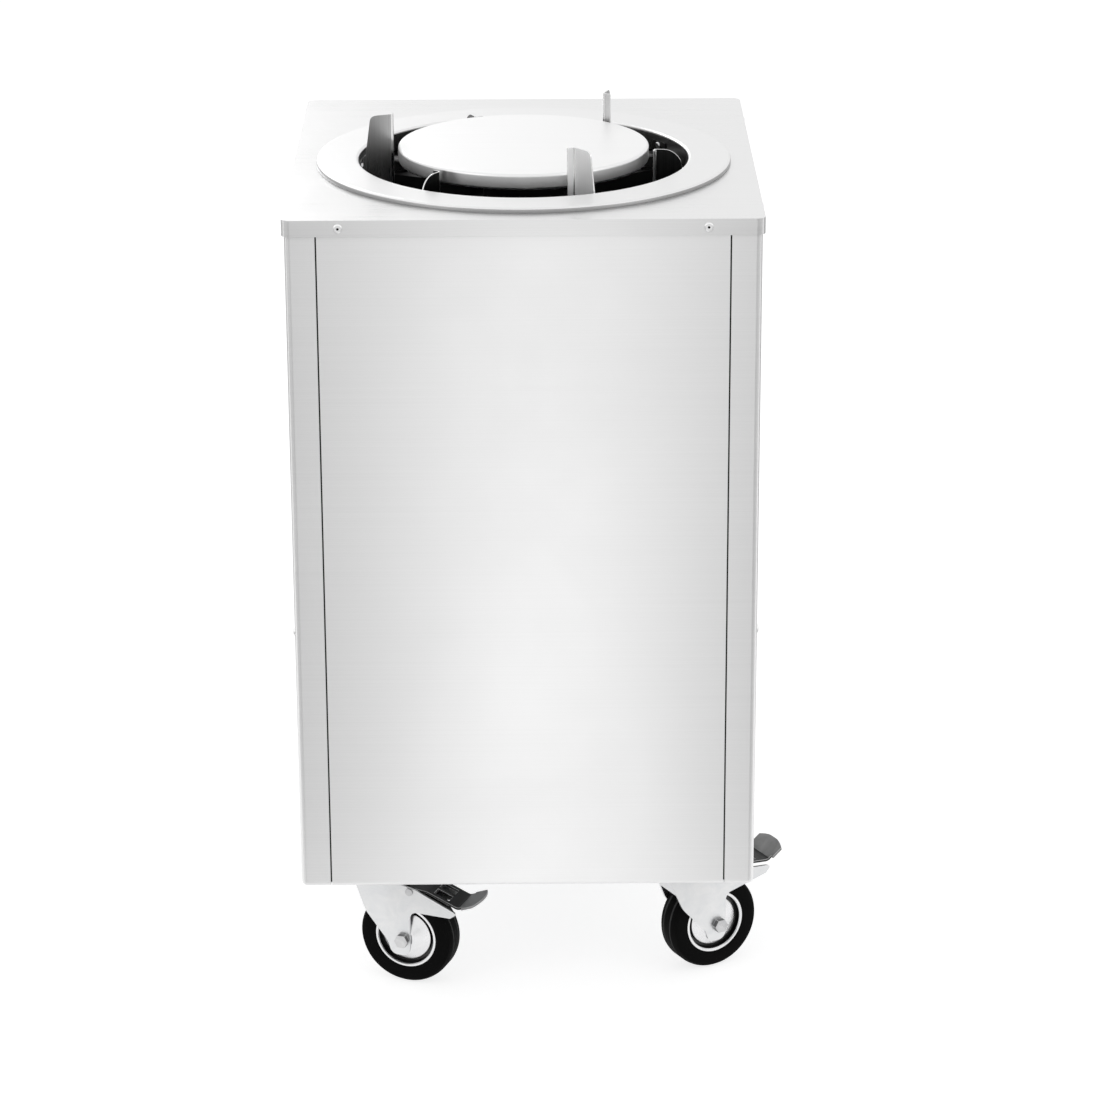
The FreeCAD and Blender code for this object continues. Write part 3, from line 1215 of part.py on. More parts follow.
def castor_fork(tilt):
    """Pressed fork: crown, front apron, race cup, and two cheeks with a guard beside the pedal."""
    cheek = fork_cheek(tilt)
    lean = math.radians(FORK_LEAN)
    run = FORK_CREASE + CROWN_FRONT
    nose_x = FORK_CREASE - run * math.cos(lean)
    nose_y = FORK_OUTER - run * math.sin(lean)
    plan = [(FORK_CREASE, -FORK_OUTER, 0), (FORK_CREASE, FORK_OUTER, 0), (nose_x, nose_y, 0),
            (nose_x, -nose_y, 0)]
    crown = outline(plan, in_plan).extrude(V(0, 0, CROWN_SHEET))
    crown.translate(V(0, 0, CROWN_BOTTOM))
    fall = (CROWN_FRONT - FORK_WAIST) / (CROWN_TOP - AXLE_Z - FORK_WAIST_HEIGHT)
    low_x = nose_x + FORK_APRON * fall * math.cos(lean)
    front = [(nose_x, CROWN_TOP, 0), (low_x, CROWN_TOP - FORK_APRON, 0),
             (low_x + FORK_SHEET, CROWN_TOP - FORK_APRON, 0), (nose_x + FORK_SHEET, CROWN_TOP, 0)]
    half = nose_y - FORK_SHEET / 4
    apron = outline(front, in_section).extrude(V(0, 2 * half, 0))
    apron.translate(V(0, -half, 0))
    cup = [(0, CROWN_TOP, 0), (FORK_CUP_RADIUS - RACE_DEPTH, CROWN_TOP, 0),
           (FORK_CUP_RADIUS, CUP_TOP, FORK_CUP_ROUND), (0, CUP_TOP, 0)]
    other = cheek.mirror(V(0, 0, 0), V(0, 1, 0))
    fork = crown.fuse([apron, cheek, other, spun(outline(cup, in_section))]).removeSplitter()
    reach = FORK_OUTER + PAST
    return fork.cut([across_fork(AXLE_RADIUS + AXLE_PLAY, TRAIL, AXLE_Z, reach),
                     across_fork(PEDAL_PIN + RUN_PLAY, PEDAL_PIVOT_X, PIVOT_Z, reach),
                     upright(KINGPIN_RADIUS + RUN_PLAY, CROWN_BOTTOM - PAST, CUP_TOP + PAST)])


def wheel_rim():
    """Wheel centre: a dished disc, a recess round it and a bright flange at the tyre."""
    bore = AXLE_RADIUS + AXLE_PLAY
    hub = FORK_INNER - HUB_SIDE_PLAY
    outer = WHEEL_RADIUS - TYRE_DEPTH
    inner = outer - RIM_WALL
    face = WHEEL_WIDTH / 2 - RIM_INSET
    disc = inner - GROOVE_WIDTH
    web = face - GROOVE_DEPTH
    half = [(bore, hub, 0), (HUB_BOSS_RADIUS, hub, DISC_ROUND), (disc, face - DISC_INSET, DISC_ROUND),
            (disc, web, GROOVE_ROUND), (inner, web, GROOVE_ROUND), (inner, face, GROOVE_ROUND),
            (outer, face, 0)]
    mirrored = [(r, -y, round_off) for r, y, round_off in reversed(half)]
    return wheel_turn(half + mirrored)


def tyre():
    """Rubber tread ring with two grooves."""
    inner = WHEEL_RADIUS - TYRE_DEPTH + RUN_PLAY
    face = WHEEL_WIDTH / 2
    half = [(inner, face, TYRE_BEAD_ROUND), (WHEEL_RADIUS, face, TYRE_SHOULDER),
            (WHEEL_RADIUS, TREAD_OFFSET + TREAD_GROOVE, 0), (WHEEL_RADIUS - TREAD_GROOVE, TREAD_OFFSET, 0),
            (WHEEL_RADIUS, TREAD_OFFSET - TREAD_GROOVE, 0)]
    mirrored = [(r, -y, round_off) for r, y, round_off in reversed(half)]
    return wheel_turn(half + mirrored)


def axle_set():
    """Axle bolt with its nut, and the pedal's pin."""
    head = hexagon(AXLE_FLATS, V(TRAIL, -FORK_OUTER - AXLE_HEAD, AXLE_Z), V(TRAIL, -FORK_OUTER, AXLE_Z))
    end = FORK_OUTER + AXLE_NUT + AXLE_TAIL
    shank = rod(AXLE_RADIUS, V(TRAIL, -FORK_OUTER, AXLE_Z), V(TRAIL, end, AXLE_Z))
    nut = hexagon(AXLE_FLATS, V(TRAIL, FORK_OUTER, AXLE_Z), V(TRAIL, FORK_OUTER + AXLE_NUT, AXLE_Z))
    pin = across_fork(PEDAL_PIN, PEDAL_PIVOT_X, PIVOT_Z, FORK_OUTER)
    caps = [rod(PEDAL_PIN + PEDAL_PIN_HEAD, V(PEDAL_PIVOT_X, side * FORK_OUTER, PIVOT_Z),
                V(PEDAL_PIVOT_X, side * (FORK_OUTER + PEDAL_PIN_HEAD), PIVOT_Z)) for side in (-1, 1)]
    return [head.fuse([shank, nut]).removeSplitter(), pin.fuse(caps).removeSplitter()]


def brake_pedal(tilt):
    """Folded pedal on a barrel, with a wide turned-up tread, tilted up on its pin."""
    level = PIVOT_Z + PEDAL_BARREL - PEDAL_SHEET / 2
    run = [(PEDAL_PIVOT_X, level), (PEDAL_KNEE_X, level - PEDAL_SLOPE), (PEDAL_DIP_X, level - PEDAL_DIP),
           (PEDAL_TIP_X, level - PEDAL_DIP + PEDAL_TIP)]
    narrow = FORK_INNER - PEDAL_SIDE_PLAY
    wide = narrow + PEDAL_TIP_EXTRA
    blade = bent_strip(run, PEDAL_SHEET, PEDAL_BEND, in_section).extrude(V(0, 2 * wide, 0))
    blade.translate(V(0, -wide, 0))
    start = PEDAL_PIVOT_X - PEDAL_BARREL
    for y in (-wide - PAST, narrow):
        width = wide - narrow + PAST
        blade = blade.cut(box(start, y, 0, PEDAL_TREAD_X, y + width, CASTOR_HEIGHT))
    centre = V(PEDAL_TIP_X - PEDAL_TIP_ROUND, 0, 0)
    blade = blade.common(upright(PEDAL_TIP_ROUND, 0, CASTOR_HEIGHT, centre))
    outer = narrow - PEDAL_WINDOW_EDGE
    for y in (-outer, PEDAL_WINDOW_BRIDGE / 2):
        width = outer - PEDAL_WINDOW_BRIDGE / 2
        blade = blade.cut(box(PEDAL_WINDOW_START, y, 0, PEDAL_WINDOW_END, y + width, CASTOR_HEIGHT))
    blade = blade.fuse(across_fork(PEDAL_BARREL, PEDAL_PIVOT_X, PIVOT_Z, narrow)).removeSplitter()
    blade = blade.cut(across_fork(PEDAL_PIN + RUN_PLAY, PEDAL_PIVOT_X, PIVOT_Z, FORK_OUTER))
    blade.rotate(V(PEDAL_PIVOT_X, 0, PIVOT_Z), V(0, 1, 0), -tilt)
    return blade


# All nodes

os.makedirs("parts", exist_ok=True)

shell = cabinet_shell()
save("top_cover", top_cover())
save("left_side_panel", side_panel(shell, -1))
save("right_side_panel", side_panel(shell, 1))
save("front_panel", end_panel(shell, -1))
save("rear_panel", end_panel(shell, 1).cut(control_opening()))
save("corner_posts", *corner_posts())
save("base_pan", base_pan())
save("pop_rivets", *[rivet(seat, way) for seat, way in rivet_places()])

save("rim_ring", rim_ring())
save("well_liner", well_liner())
for number, angle in enumerate(TALL_ANGLES, 1):
    save("tall_guide_" + str(number), tall_guide(angle))
for number, angle in enumerate(LOW_ANGLES, 1):
    save("low_guide_" + str(number), low_guide(angle))
save("guide_screws", *guide_screws())

save("guide_rods", *guide_rods())
save("rod_brackets", *rod_brackets())
save("stop_buffers", *stop_buffers())
save("spring_cup", spring_cup())
save("lift_spring", lift_spring())
save("carriage_spider", carriage_spider())
save("carriage_bushes", *carriage_bushes())
save("platform_post", platform_post())
save("platform_screws", *platform_screws())
save("platform", platform())

save("heating_element", heating_element())
save("heater_brackets", *heater_brackets())
save("terminal_block", terminal_block())
save("control_pan", control_pan())
save("thermostat_body", thermostat_body())
save("thermostat_knob", thermostat_knob())
save("pilot_lamp", pilot_lamp())
save("switch_housing", switch_housing())
save("switch_rocker", switch_rocker())
save("cord_gland", *cord_gland())

save("castor_plates", *[turned(castor_plate(), 0, foot) for foot in kingpin_places()])
save("castor_bolts", *castor_bolts())
save("kingpins", *[turned(kingpin(), 0, foot) for foot in kingpin_places()])
for name, side, end, angle, tilt in CASTORS:
    foot = V(side * CASTOR_X, end * CASTOR_Y, 0)
    save(name + "_fork", turned(castor_fork(tilt), angle, foot))
    save(name + "_rim", turned(wheel_rim(), angle, foot))
    save(name + "_tyre", turned(tyre(), angle, foot))
    save(name + "_axle_set", *[turned(piece, angle, foot) for piece in axle_set()])
    save(name + "_pedal", turned(brake_pedal(tilt), angle, foot))
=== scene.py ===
# %% [markdown]
# # A mobile plate dispenser
# Canteen kitchens keep a stack of plates warm in a cabinet like this one: a brushed steel box on
# castors, with a round well in its deck and a spring under the stack, so that the top plate always
# stands at the same height. The construction is already solved in the imported frame. This lesson gives
# it its looks: sheet metal with soft folds, rubber, zinc and enamel.
#
# The frame comes first, because every piece takes its place from it.

# %% Load the frame
import json
import math

import bmesh
import bpy
from mathutils import Matrix, Vector

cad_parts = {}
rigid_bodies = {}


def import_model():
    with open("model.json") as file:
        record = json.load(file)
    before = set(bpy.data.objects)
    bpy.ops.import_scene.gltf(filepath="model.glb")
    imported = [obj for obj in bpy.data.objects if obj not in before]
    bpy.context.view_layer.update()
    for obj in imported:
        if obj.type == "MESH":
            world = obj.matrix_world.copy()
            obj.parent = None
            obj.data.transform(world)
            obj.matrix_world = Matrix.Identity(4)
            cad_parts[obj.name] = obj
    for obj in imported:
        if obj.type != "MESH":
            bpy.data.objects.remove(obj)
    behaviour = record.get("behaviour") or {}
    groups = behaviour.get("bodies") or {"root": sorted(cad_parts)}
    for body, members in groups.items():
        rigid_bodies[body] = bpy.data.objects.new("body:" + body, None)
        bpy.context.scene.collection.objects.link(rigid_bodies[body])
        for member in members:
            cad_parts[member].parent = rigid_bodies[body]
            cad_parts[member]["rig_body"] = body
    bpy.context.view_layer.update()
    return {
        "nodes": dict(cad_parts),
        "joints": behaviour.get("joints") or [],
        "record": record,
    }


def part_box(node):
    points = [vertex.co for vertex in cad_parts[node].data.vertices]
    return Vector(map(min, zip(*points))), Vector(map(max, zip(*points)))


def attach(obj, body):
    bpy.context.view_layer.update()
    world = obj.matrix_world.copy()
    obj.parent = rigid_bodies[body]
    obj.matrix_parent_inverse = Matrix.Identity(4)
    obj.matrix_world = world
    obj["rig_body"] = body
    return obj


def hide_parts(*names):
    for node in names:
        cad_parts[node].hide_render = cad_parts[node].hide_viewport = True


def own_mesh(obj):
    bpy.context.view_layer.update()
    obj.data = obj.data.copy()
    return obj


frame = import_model()
scene = bpy.context.scene
joints = {joint["name"]: joint for joint in frame["joints"]}

# %% [markdown]
# ## The camera
# The photograph is taken from straight ahead and a little above, with a long lens. A long lens far
# away keeps the upright edges nearly parallel. The camera turns round a point inside the cabinet, and
# a touch of roll levels it the way the photograph is levelled.

# %% Camera
TARGET = Vector((0.0246, 0.0, 0.3965))
DISTANCE = 4.0
ELEVATION = math.radians(19.87)
AZIMUTH = math.radians(-0.21)
ROLL = math.radians(-0.25)
LENS_MM = 126.9

back = Vector((math.sin(AZIMUTH) * math.cos(ELEVATION),
               -math.cos(AZIMUTH) * math.cos(ELEVATION), math.sin(ELEVATION)))
camera = bpy.data.objects.new("camera", bpy.data.cameras.new("camera"))
scene.collection.objects.link(camera)
camera.data.sensor_width = 36
camera.data.lens = LENS_MM
camera.location = TARGET + back * DISTANCE
look = (-back).to_track_quat("-Z", "Y").to_matrix().to_4x4() @ Matrix.Rotation(ROLL, 4, "Z")
camera.rotation_euler = look.to_euler()
scene.camera = camera
print("camera at", [round(x, 3) for x in camera.location])

# %% [markdown]
# ## Light, floor and background
# Bare metal shows what stands round it, so its surroundings matter more than its lamps. The world is
# plain white to the camera and to reflections, and dimmer as a light, which leaves room for the lamps
# to model the form. The light path tells which kind of ray is asking.

# %% World
WORLD_LIGHT = 0.55

def calculate(tree, operation, first, second=0.0):
    """Math node on two values, each a socket or a number."""
    node = tree.nodes.new("ShaderNodeMath")
    node.operation = operation
    for socket, value in zip(node.inputs, (first, second)):
        if isinstance(value, float):
            socket.default_value = value
        else:
            tree.links.new(value, socket)
    return node.outputs[0]

def seen_directly(tree):
    """Mask that is 1 for camera, mirror and glass rays, and a mask for mirror rays alone."""
    path = tree.nodes.new("ShaderNodeLightPath")
    mirror = path.outputs["Is Glossy Ray"]
    mask = calculate(tree, "MAXIMUM", path.outputs["Is Camera Ray"], mirror)
    return calculate(tree, "MAXIMUM", mask, path.outputs["Is Transmission Ray"]), mirror

world = bpy.data.worlds.new("white_room")
scene.world = world
world.use_nodes = True
tree = world.node_tree
strength = tree.nodes.new("ShaderNodeMapRange")
strength.inputs["To Min"].default_value = WORLD_LIGHT
strength.inputs["To Max"].default_value = 1.0
tree.links.new(seen_directly(tree)[0], strength.inputs["Value"])
tree.nodes["Background"].inputs["Color"].default_value = (1, 1, 1, 1)
tree.links.new(strength.outputs["Result"], tree.nodes["Background"].inputs["Strength"])
scene.view_settings.view_transform = "Standard"
print("world light", WORLD_LIGHT)

# %% [markdown]
# The floor is white to the camera and keeps part of its own shading, so that the castors cast a soft
# shadow. The front of the cabinet mirrors the floor before it, because the camera looks down. Where a
# studio would lay a white strip between two grey ones, mirror rays alone see the floor glow in such a
# strip, which starts a little way off and fans out with the distance: a painted reflection that gives
# flat steel its bright middle.

# %% Floor
FLOOR_SIZE = 30.0
FLOOR_GLOW = 0.78
FLOOR_TONE = 0.5
STRIP_MIDDLE = 0.9
STRIP_SIDES = 0.1
STRIP_AT = 0.018
STRIP_WIDTH = 0.185
STRIP_FAN = 0.04
STRIP_NEAR = 0.34
STRIP_START = 0.46

def reflection_strip_glow(tree):
    """Painted reflection: glow of the floor for mirror rays, a soft bell across the strip."""
    place = tree.nodes.new("ShaderNodeTexCoord")
    parts = tree.nodes.new("ShaderNodeSeparateXYZ")
    tree.links.new(place.outputs["Object"], parts.inputs["Vector"])
    away = calculate(tree, "ABSOLUTE", parts.outputs["Y"])
    fan = calculate(tree, "MULTIPLY", away, STRIP_FAN)
    across = calculate(tree, "DIVIDE", calculate(tree, "SUBTRACT", parts.outputs["X"], STRIP_AT),
                       calculate(tree, "ADD", fan, STRIP_WIDTH))
    fall = calculate(tree, "MULTIPLY", calculate(tree, "MULTIPLY", across, across), -1.0)
    bell = tree.nodes.new("ShaderNodeMapRange")
    bell.inputs["To Min"].default_value = STRIP_SIDES
    bell.inputs["To Max"].default_value = STRIP_MIDDLE
    tree.links.new(calculate(tree, "EXPONENT", fall), bell.inputs["Value"])
    start = tree.nodes.new("ShaderNodeMapRange")
    start.interpolation_type = "SMOOTHSTEP"
    start.inputs["From Min"].default_value = STRIP_NEAR
    start.inputs["From Max"].default_value = STRIP_START
    tree.links.new(away, start.inputs["Value"])
    glow = tree.nodes.new("ShaderNodeMix")
    glow.inputs["A"].default_value = FLOOR_GLOW
    tree.links.new(start.outputs["Result"], glow.inputs["Factor"])
    tree.links.new(bell.outputs["Result"], glow.inputs["B"])
    return glow.outputs["Result"]

def new_material(name):
    """Node material; returns it with its tree and its Principled shader."""
    material = bpy.data.materials.new(name)
    material.use_nodes = True
    return material, material.node_tree, material.node_tree.nodes["Principled BSDF"]

def floor_material():
    """White floor whose shading shows through only in part."""
    material, tree, paint = new_material("floor_white")
    paint.inputs["Base Color"].default_value = (FLOOR_TONE, FLOOR_TONE, FLOOR_TONE, 1)
    paint.inputs["Roughness"].default_value = 0.9
    paint.inputs["Specular IOR Level"].default_value = 0.0
    direct, mirror = seen_directly(tree)
    plain = calculate(tree, "MULTIPLY", calculate(tree, "SUBTRACT", direct, mirror), FLOOR_GLOW)
    strip = calculate(tree, "MULTIPLY", reflection_strip_glow(tree), mirror)
    paint.inputs["Emission Color"].default_value = (1, 1, 1, 1)
    tree.links.new(calculate(tree, "ADD", plain, strip), paint.inputs["Emission Strength"])
    return material

shape = bmesh.new()
bmesh.ops.create_grid(shape, x_segments=1, y_segments=1, size=FLOOR_SIZE / 2)
floor = bpy.data.objects.new("floor", bpy.data.meshes.new("floor"))
shape.to_mesh(floor.data)
shape.free()
floor.data.materials.append(floor_material())
scene.collection.objects.link(floor)
print("floor", FLOOR_SIZE, "m across")

# %% [markdown]
# Three broad, soft lamps stand round the object. The one behind is the strongest: it grazes the deck
# and draws the edges of the ring and the blades.

# %% Lamps
LAMPS = (
    # name, place, width, height, watts
    ("left_light", (-2.6, -2.2, 2.6), 1.6, 1.6, 8),
    ("right_light", (2.8, -1.6, 2.2), 1.6, 1.6, 5),
    ("back_light", (-1.3, 2.6, 2.2), 1.6, 1.2, 18),
)
for name, place, width, height, watts in LAMPS:
    lamp = bpy.data.objects.new(name, bpy.data.lights.new(name, "AREA"))
    lamp.data.shape = "RECTANGLE"
    lamp.data.size = width
    lamp.data.size_y = height
    lamp.data.energy = watts
    lamp.visible_camera = False
    lamp.location = place
    lamp.rotation_euler = (TARGET - Vector(place)).to_track_quat("-Z", "Y").to_euler()
    scene.collection.objects.link(lamp)
print("lamps", len(LAMPS))

# %% [markdown]
# ## Finishes shared by many pieces
# Two effects turn up on almost every metal here. Brushing leaves fine parallel lines, which a noise
# stretched along one direction gives. Handling leaves broad, faint smears that change how sharp a
# reflection is. Each is a node group, built once and placed in a material with its own numbers.

# %% Node groups
def new_group(name, inputs, outputs):
    """Shader node group with named sockets; returns it with its input and output nodes."""
    group = bpy.data.node_groups.new(name, "ShaderNodeTree")
    for label, kind, value in inputs:
        group.interface.new_socket(label, in_out="INPUT", socket_type=kind).default_value = value
    for label, kind in outputs:
        group.interface.new_socket(label, in_out="OUTPUT", socket_type=kind)
    return group, group.nodes.new("NodeGroupInput"), group.nodes.new("NodeGroupOutput")

def brushed_lines():
    """Parallel scratches: noise on object coordinates, squeezed across the lines."""
    group, given, result = new_group(
        "brushed_lines",
        [("Density", "NodeSocketVector", (3.0, 3.0, 1500.0)), ("Detail", "NodeSocketFloat", 3.0)],
        [("Lines", "NodeSocketFloat")])
    place = group.nodes.new("ShaderNodeTexCoord")
    squeeze = group.nodes.new("ShaderNodeVectorMath")
    squeeze.operation = "MULTIPLY"
    noise = group.nodes.new("ShaderNodeTexNoise")
    noise.inputs["Scale"].default_value = 1.0
    noise.inputs["Roughness"].default_value = 0.6
    group.links.new(place.outputs["Object"], squeeze.inputs[0])
    group.links.new(given.outputs["Density"], squeeze.inputs[1])
    group.links.new(squeeze.outputs["Vector"], noise.inputs["Vector"])
    group.links.new(given.outputs["Detail"], noise.inputs["Detail"])
    group.links.new(noise.outputs["Fac"], result.inputs["Lines"])
    return group

def handling_smears():
    """Broad soft patches where hands and cloths have been."""
    group, given, result = new_group(
        "handling_smears",
        [("Size", "NodeSocketFloat", 7.0), ("Break up", "NodeSocketFloat", 0.55)],
        [("Smears", "NodeSocketFloat")])
    place = group.nodes.new("ShaderNodeTexCoord")
    noise = group.nodes.new("ShaderNodeTexNoise")
    noise.inputs["Detail"].default_value = 5.0
    noise.inputs["Distortion"].default_value = 0.6
    group.links.new(place.outputs["Object"], noise.inputs["Vector"])
    group.links.new(given.outputs["Size"], noise.inputs["Scale"])
    group.links.new(given.outputs["Break up"], noise.inputs["Roughness"])
    group.links.new(noise.outputs["Fac"], result.inputs["Smears"])
    return group

LINES = brushed_lines()
SMEARS = handling_smears()
print("groups", LINES.name, SMEARS.name)

# %% [markdown]
# A finish is a Principled shader with a few nodes in front of it. These helpers place a shared group in
# a material, stretch its noise to a range, choose between two tones by it, and turn it into relief. So
# each finish further on takes only a few lines, and all of them are built alike.

# %% Material helpers
NOISE_LOW = 0.3
NOISE_HIGH = 0.7

def grey(tone):
    """Colour with three equal parts."""
    return (tone, tone, tone)

def place_group(tree, group, **values):
    """A shared effect in a material, with this material's own numbers."""
    node = tree.nodes.new("ShaderNodeGroup")
    node.node_tree = group
    for label, value in values.items():
        node.inputs[label.replace("_", " ")].default_value = value
    return node.outputs[0]

def spread(tree, source, low, high):
    """Noise stretched to run from low to high."""
    ranged = tree.nodes.new("ShaderNodeMapRange")
    ranged.inputs["From Min"].default_value = NOISE_LOW
    ranged.inputs["From Max"].default_value = NOISE_HIGH
    ranged.inputs["To Min"].default_value = low
    ranged.inputs["To Max"].default_value = high
    tree.links.new(source, ranged.inputs["Value"])
    return ranged.outputs["Result"]

def blend_tones(tree, source, dark, light):
    """Colour between two greys or tints, chosen by a mask."""
    mix = tree.nodes.new("ShaderNodeMix")
    mix.data_type = "RGBA"
    mix.inputs["A"].default_value = (*dark, 1)
    mix.inputs["B"].default_value = (*light, 1)
    tree.links.new(source, mix.inputs["Factor"])
    return mix.outputs["Result"]

def add_bump(tree, shader, source, distance):
    """Relief from a mask, in metres."""
    bump = tree.nodes.new("ShaderNodeBump")
    bump.inputs["Distance"].default_value = distance
    tree.links.new(source, bump.inputs["Height"])
    tree.links.new(bump.outputs["Normal"], shader.inputs["Normal"])

print("noise is stretched from", NOISE_LOW, "to", NOISE_HIGH)

# %% [markdown]
# ## Stainless sheet
# The cabinet is brushed crosswise, so its reflections are drawn out up and down. Anisotropy does this,
# along a tangent that points straight up, and it draws the floor's painted reflection strip out into the
# soft upright band on the front. The deck, the ring and the platform are brushed along the deck, and
# look brighter because they mirror the white above them. The blades are brushed lengthwise.

# %% Stainless
LINE_GLOSS = 0.04
SMEAR_GLOSS = (-0.02, 0.03)
LINE_RELIEF = 0.00001

def stainless(name, dark, light, rough, density, drawn_out=0.0):
    """Brushed steel between two greys: lines in tone and relief, smears in gloss."""
    material, tree, shader = new_material(name)
    lines = place_group(tree, LINES, Density=density)
    smears = place_group(tree, SMEARS)
    tone = blend_tones(tree, spread(tree, lines, 0.0, 1.0), grey(dark), grey(light))
    gloss = calculate(tree, "ADD", spread(tree, lines, rough - LINE_GLOSS, rough + LINE_GLOSS),
                      spread(tree, smears, *SMEAR_GLOSS))
    tree.links.new(tone, shader.inputs["Base Color"])
    tree.links.new(gloss, shader.inputs["Roughness"])
    shader.inputs["Metallic"].default_value = 1.0
    if drawn_out:
        upwards = tree.nodes.new("ShaderNodeCombineXYZ")
        upwards.inputs["Z"].default_value = 1.0
        tree.links.new(upwards.outputs["Vector"], shader.inputs["Tangent"])
        shader.inputs["Anisotropic"].default_value = drawn_out
    add_bump(tree, shader, lines, LINE_RELIEF)
    return material

CROSSWISE = (3.0, 3.0, 1500.0)
ALONG_DECK = (3.0, 1500.0, 1500.0)
LENGTHWISE = (1500.0, 1500.0, 3.0)
PANEL_STEEL = stainless("panel_steel", 0.85, 0.88, 0.34, CROSSWISE, 0.9)
LIP_STEEL = stainless("lip_steel", 0.78, 0.82, 0.34, CROSSWISE, 0.9)
DECK_STEEL = stainless("deck_steel", 0.76, 0.8, 0.3, ALONG_DECK)
# Painted shade: the ring's flanks and collar are a darker copy of the ring's steel.
RING_SHADE_SIDE = stainless("ring_side_shade_steel", 0.34, 0.4, 0.3, ALONG_DECK)
RING_STEEL = stainless("ring_steel", 0.78, 0.82, 0.35, ALONG_DECK)
PLATE_STEEL = stainless("plate_steel", 0.83, 0.87, 0.42, ALONG_DECK)
# One blade steel in three tones: lighter as painted light, middle grey partly painted shade, near black
# as painted shade.
GUIDE_STEEL = stainless("guide_steel", 0.5, 0.58, 0.3, LENGTHWISE)
LIT_GUIDE_STEEL = stainless("lit_guide_steel", 0.92, 0.96, 0.5, LENGTHWISE)
SHADED_GUIDE_STEEL = stainless("shaded_guide_steel", 0.03, 0.05, 0.3, LENGTHWISE)
EDGE_STEEL = stainless("edge_steel", 0.78, 0.85, 0.25, LENGTHWISE)
print("steels", [material.name for material in bpy.data.materials if "steel" in material.name])

# %% [markdown]
# ## The other finishes
# Zinc plate has a cloudy grain. Enamel, rubber and moulded plastic are dark, and only their gloss and
# a fine relief tell them apart. The pedals are burnished steel whose edges have rubbed bright.

# %% Dark and plated finishes
def cloudy(name, dark, light, rough, metallic, size, relief=0.0, specular=0.5, contrast=0.06):
    """Finish with soft patches: plating, enamel, rubber or moulded plastic."""
    material, tree, shader = new_material(name)
    patches = place_group(tree, SMEARS, Size=size)
    tone = blend_tones(tree, spread(tree, patches, 0.0, 1.0), dark, light)
    gloss = spread(tree, patches, rough - contrast, rough + contrast)
    tree.links.new(tone, shader.inputs["Base Color"])
    tree.links.new(gloss, shader.inputs["Roughness"])
    shader.inputs["Metallic"].default_value = metallic
    shader.inputs["Specular IOR Level"].default_value = specular
    if relief:
        add_bump(tree, shader, patches, relief)
    return material

ZINC = cloudy("zinc_plate", (0.7, 0.71, 0.72), grey(0.82), 0.36, 1.0, 60.0, 0.00002)
RIM_ZINC = cloudy("rim_zinc", (0.76, 0.76, 0.77), grey(0.86), 0.25, 1.0, 50.0)
BOLT_STEEL = cloudy("bolt_steel", (0.5, 0.5, 0.51), grey(0.68), 0.3, 1.0, 90.0)
BOLT_FLANK_SHADE = cloudy("bolt_flank_shade", grey(0.12), grey(0.2), 0.4, 1.0, 90.0)
RIM_RECESS_SHADE = cloudy("rim_recess_shade", grey(0.05), grey(0.1), 0.4, 1.0, 70.0)
RIVET_ALLOY = cloudy("rivet_alloy", grey(0.94), grey(0.98), 0.35, 1.0, 120.0)
GALVANISED = cloudy("galvanised_sheet", (0.4, 0.41, 0.42), (0.56, 0.57, 0.58), 0.42, 1.0, 45.0)
ENAMEL = cloudy("black_enamel", grey(0.008), grey(0.014), 0.55, 0.0, 30.0, 0.00002, 0.25)
SHADOW_BLACK = cloudy("bore_shadow_black", grey(0.004), grey(0.008), 0.8, 0.0, 60.0, 0.0, 0.1)
TYRE_RUBBER = cloudy("tyre_rubber", grey(0.003), grey(0.005), 0.7, 0.0, 70.0, 0.00003, 0.06)
TYRE_GROOVE_HIGHLIGHT = cloudy("tyre_groove_highlight", grey(0.06), grey(0.12), 0.7, 0.0, 90.0, 0.0, 0.2)
BUFFER_RUBBER = cloudy("buffer_rubber", grey(0.012), grey(0.02), 0.7, 0.0, 80.0, 0.0, 0.3)
PEDAL_STEEL = cloudy("pedal_steel", grey(0.02), grey(0.035), 0.45, 0.6, 40.0, 0.00003)
PEDAL_TREAD = cloudy("pedal_tread", grey(0.2), grey(0.36), 0.45, 0.8, 40.0, 0.00003)
WORN_EDGE = cloudy("worn_edge", grey(0.4), grey(0.6), 0.35, 1.0, 150.0)
CHROME = cloudy("ground_chrome", (0.68, 0.68, 0.69), (0.74, 0.74, 0.75), 0.1, 1.0, 30.0, 0.0, 0.5, 0.03)
SPRING_WIRE = cloudy("spring_wire", (0.16, 0.16, 0.17), (0.26, 0.26, 0.27), 0.35, 1.0, 120.0)
HEATER_SHEATH = cloudy("heater_sheath", (0.18, 0.15, 0.13), (0.3, 0.27, 0.25), 0.45, 1.0, 35.0)
BUSH_POLYMER = cloudy("bush_polymer", (0.74, 0.73, 0.69), (0.82, 0.81, 0.77), 0.5, 0.0, 60.0)
CERAMIC = cloudy("terminal_ceramic", (0.72, 0.69, 0.61), (0.8, 0.77, 0.7), 0.55, 0.0, 60.0)
BLACK_PLASTIC = cloudy("black_plastic", grey(0.012), grey(0.02), 0.42, 0.0, 200.0, 0.00002)
ROCKER_RED = cloudy("rocker_red", (0.42, 0.015, 0.012), (0.5, 0.02, 0.016), 0.25, 0.0, 120.0)
LAMP_AMBER = cloudy("lamp_amber", (0.8, 0.3, 0.03), (0.9, 0.38, 0.05), 0.15, 0.0, 90.0)
MARK_WHITE = cloudy("mark_white", grey(0.75), grey(0.82), 0.5, 0.0, 200.0)
print("materials", len(bpy.data.materials))

# %% [markdown]
# ## Helpers for pieces
# A finished mesh becomes an object at the origin that rides on a body, takes the finishes it is given,
# and stands for one or more nodes of the frame. A sheet gets its thickness from solidify, inwards from
# the face that was modelled. Weighted normals keep large faces flat beside small bevels.

# %% Piece helpers
SMOOTH_ANGLE = math.radians(32)

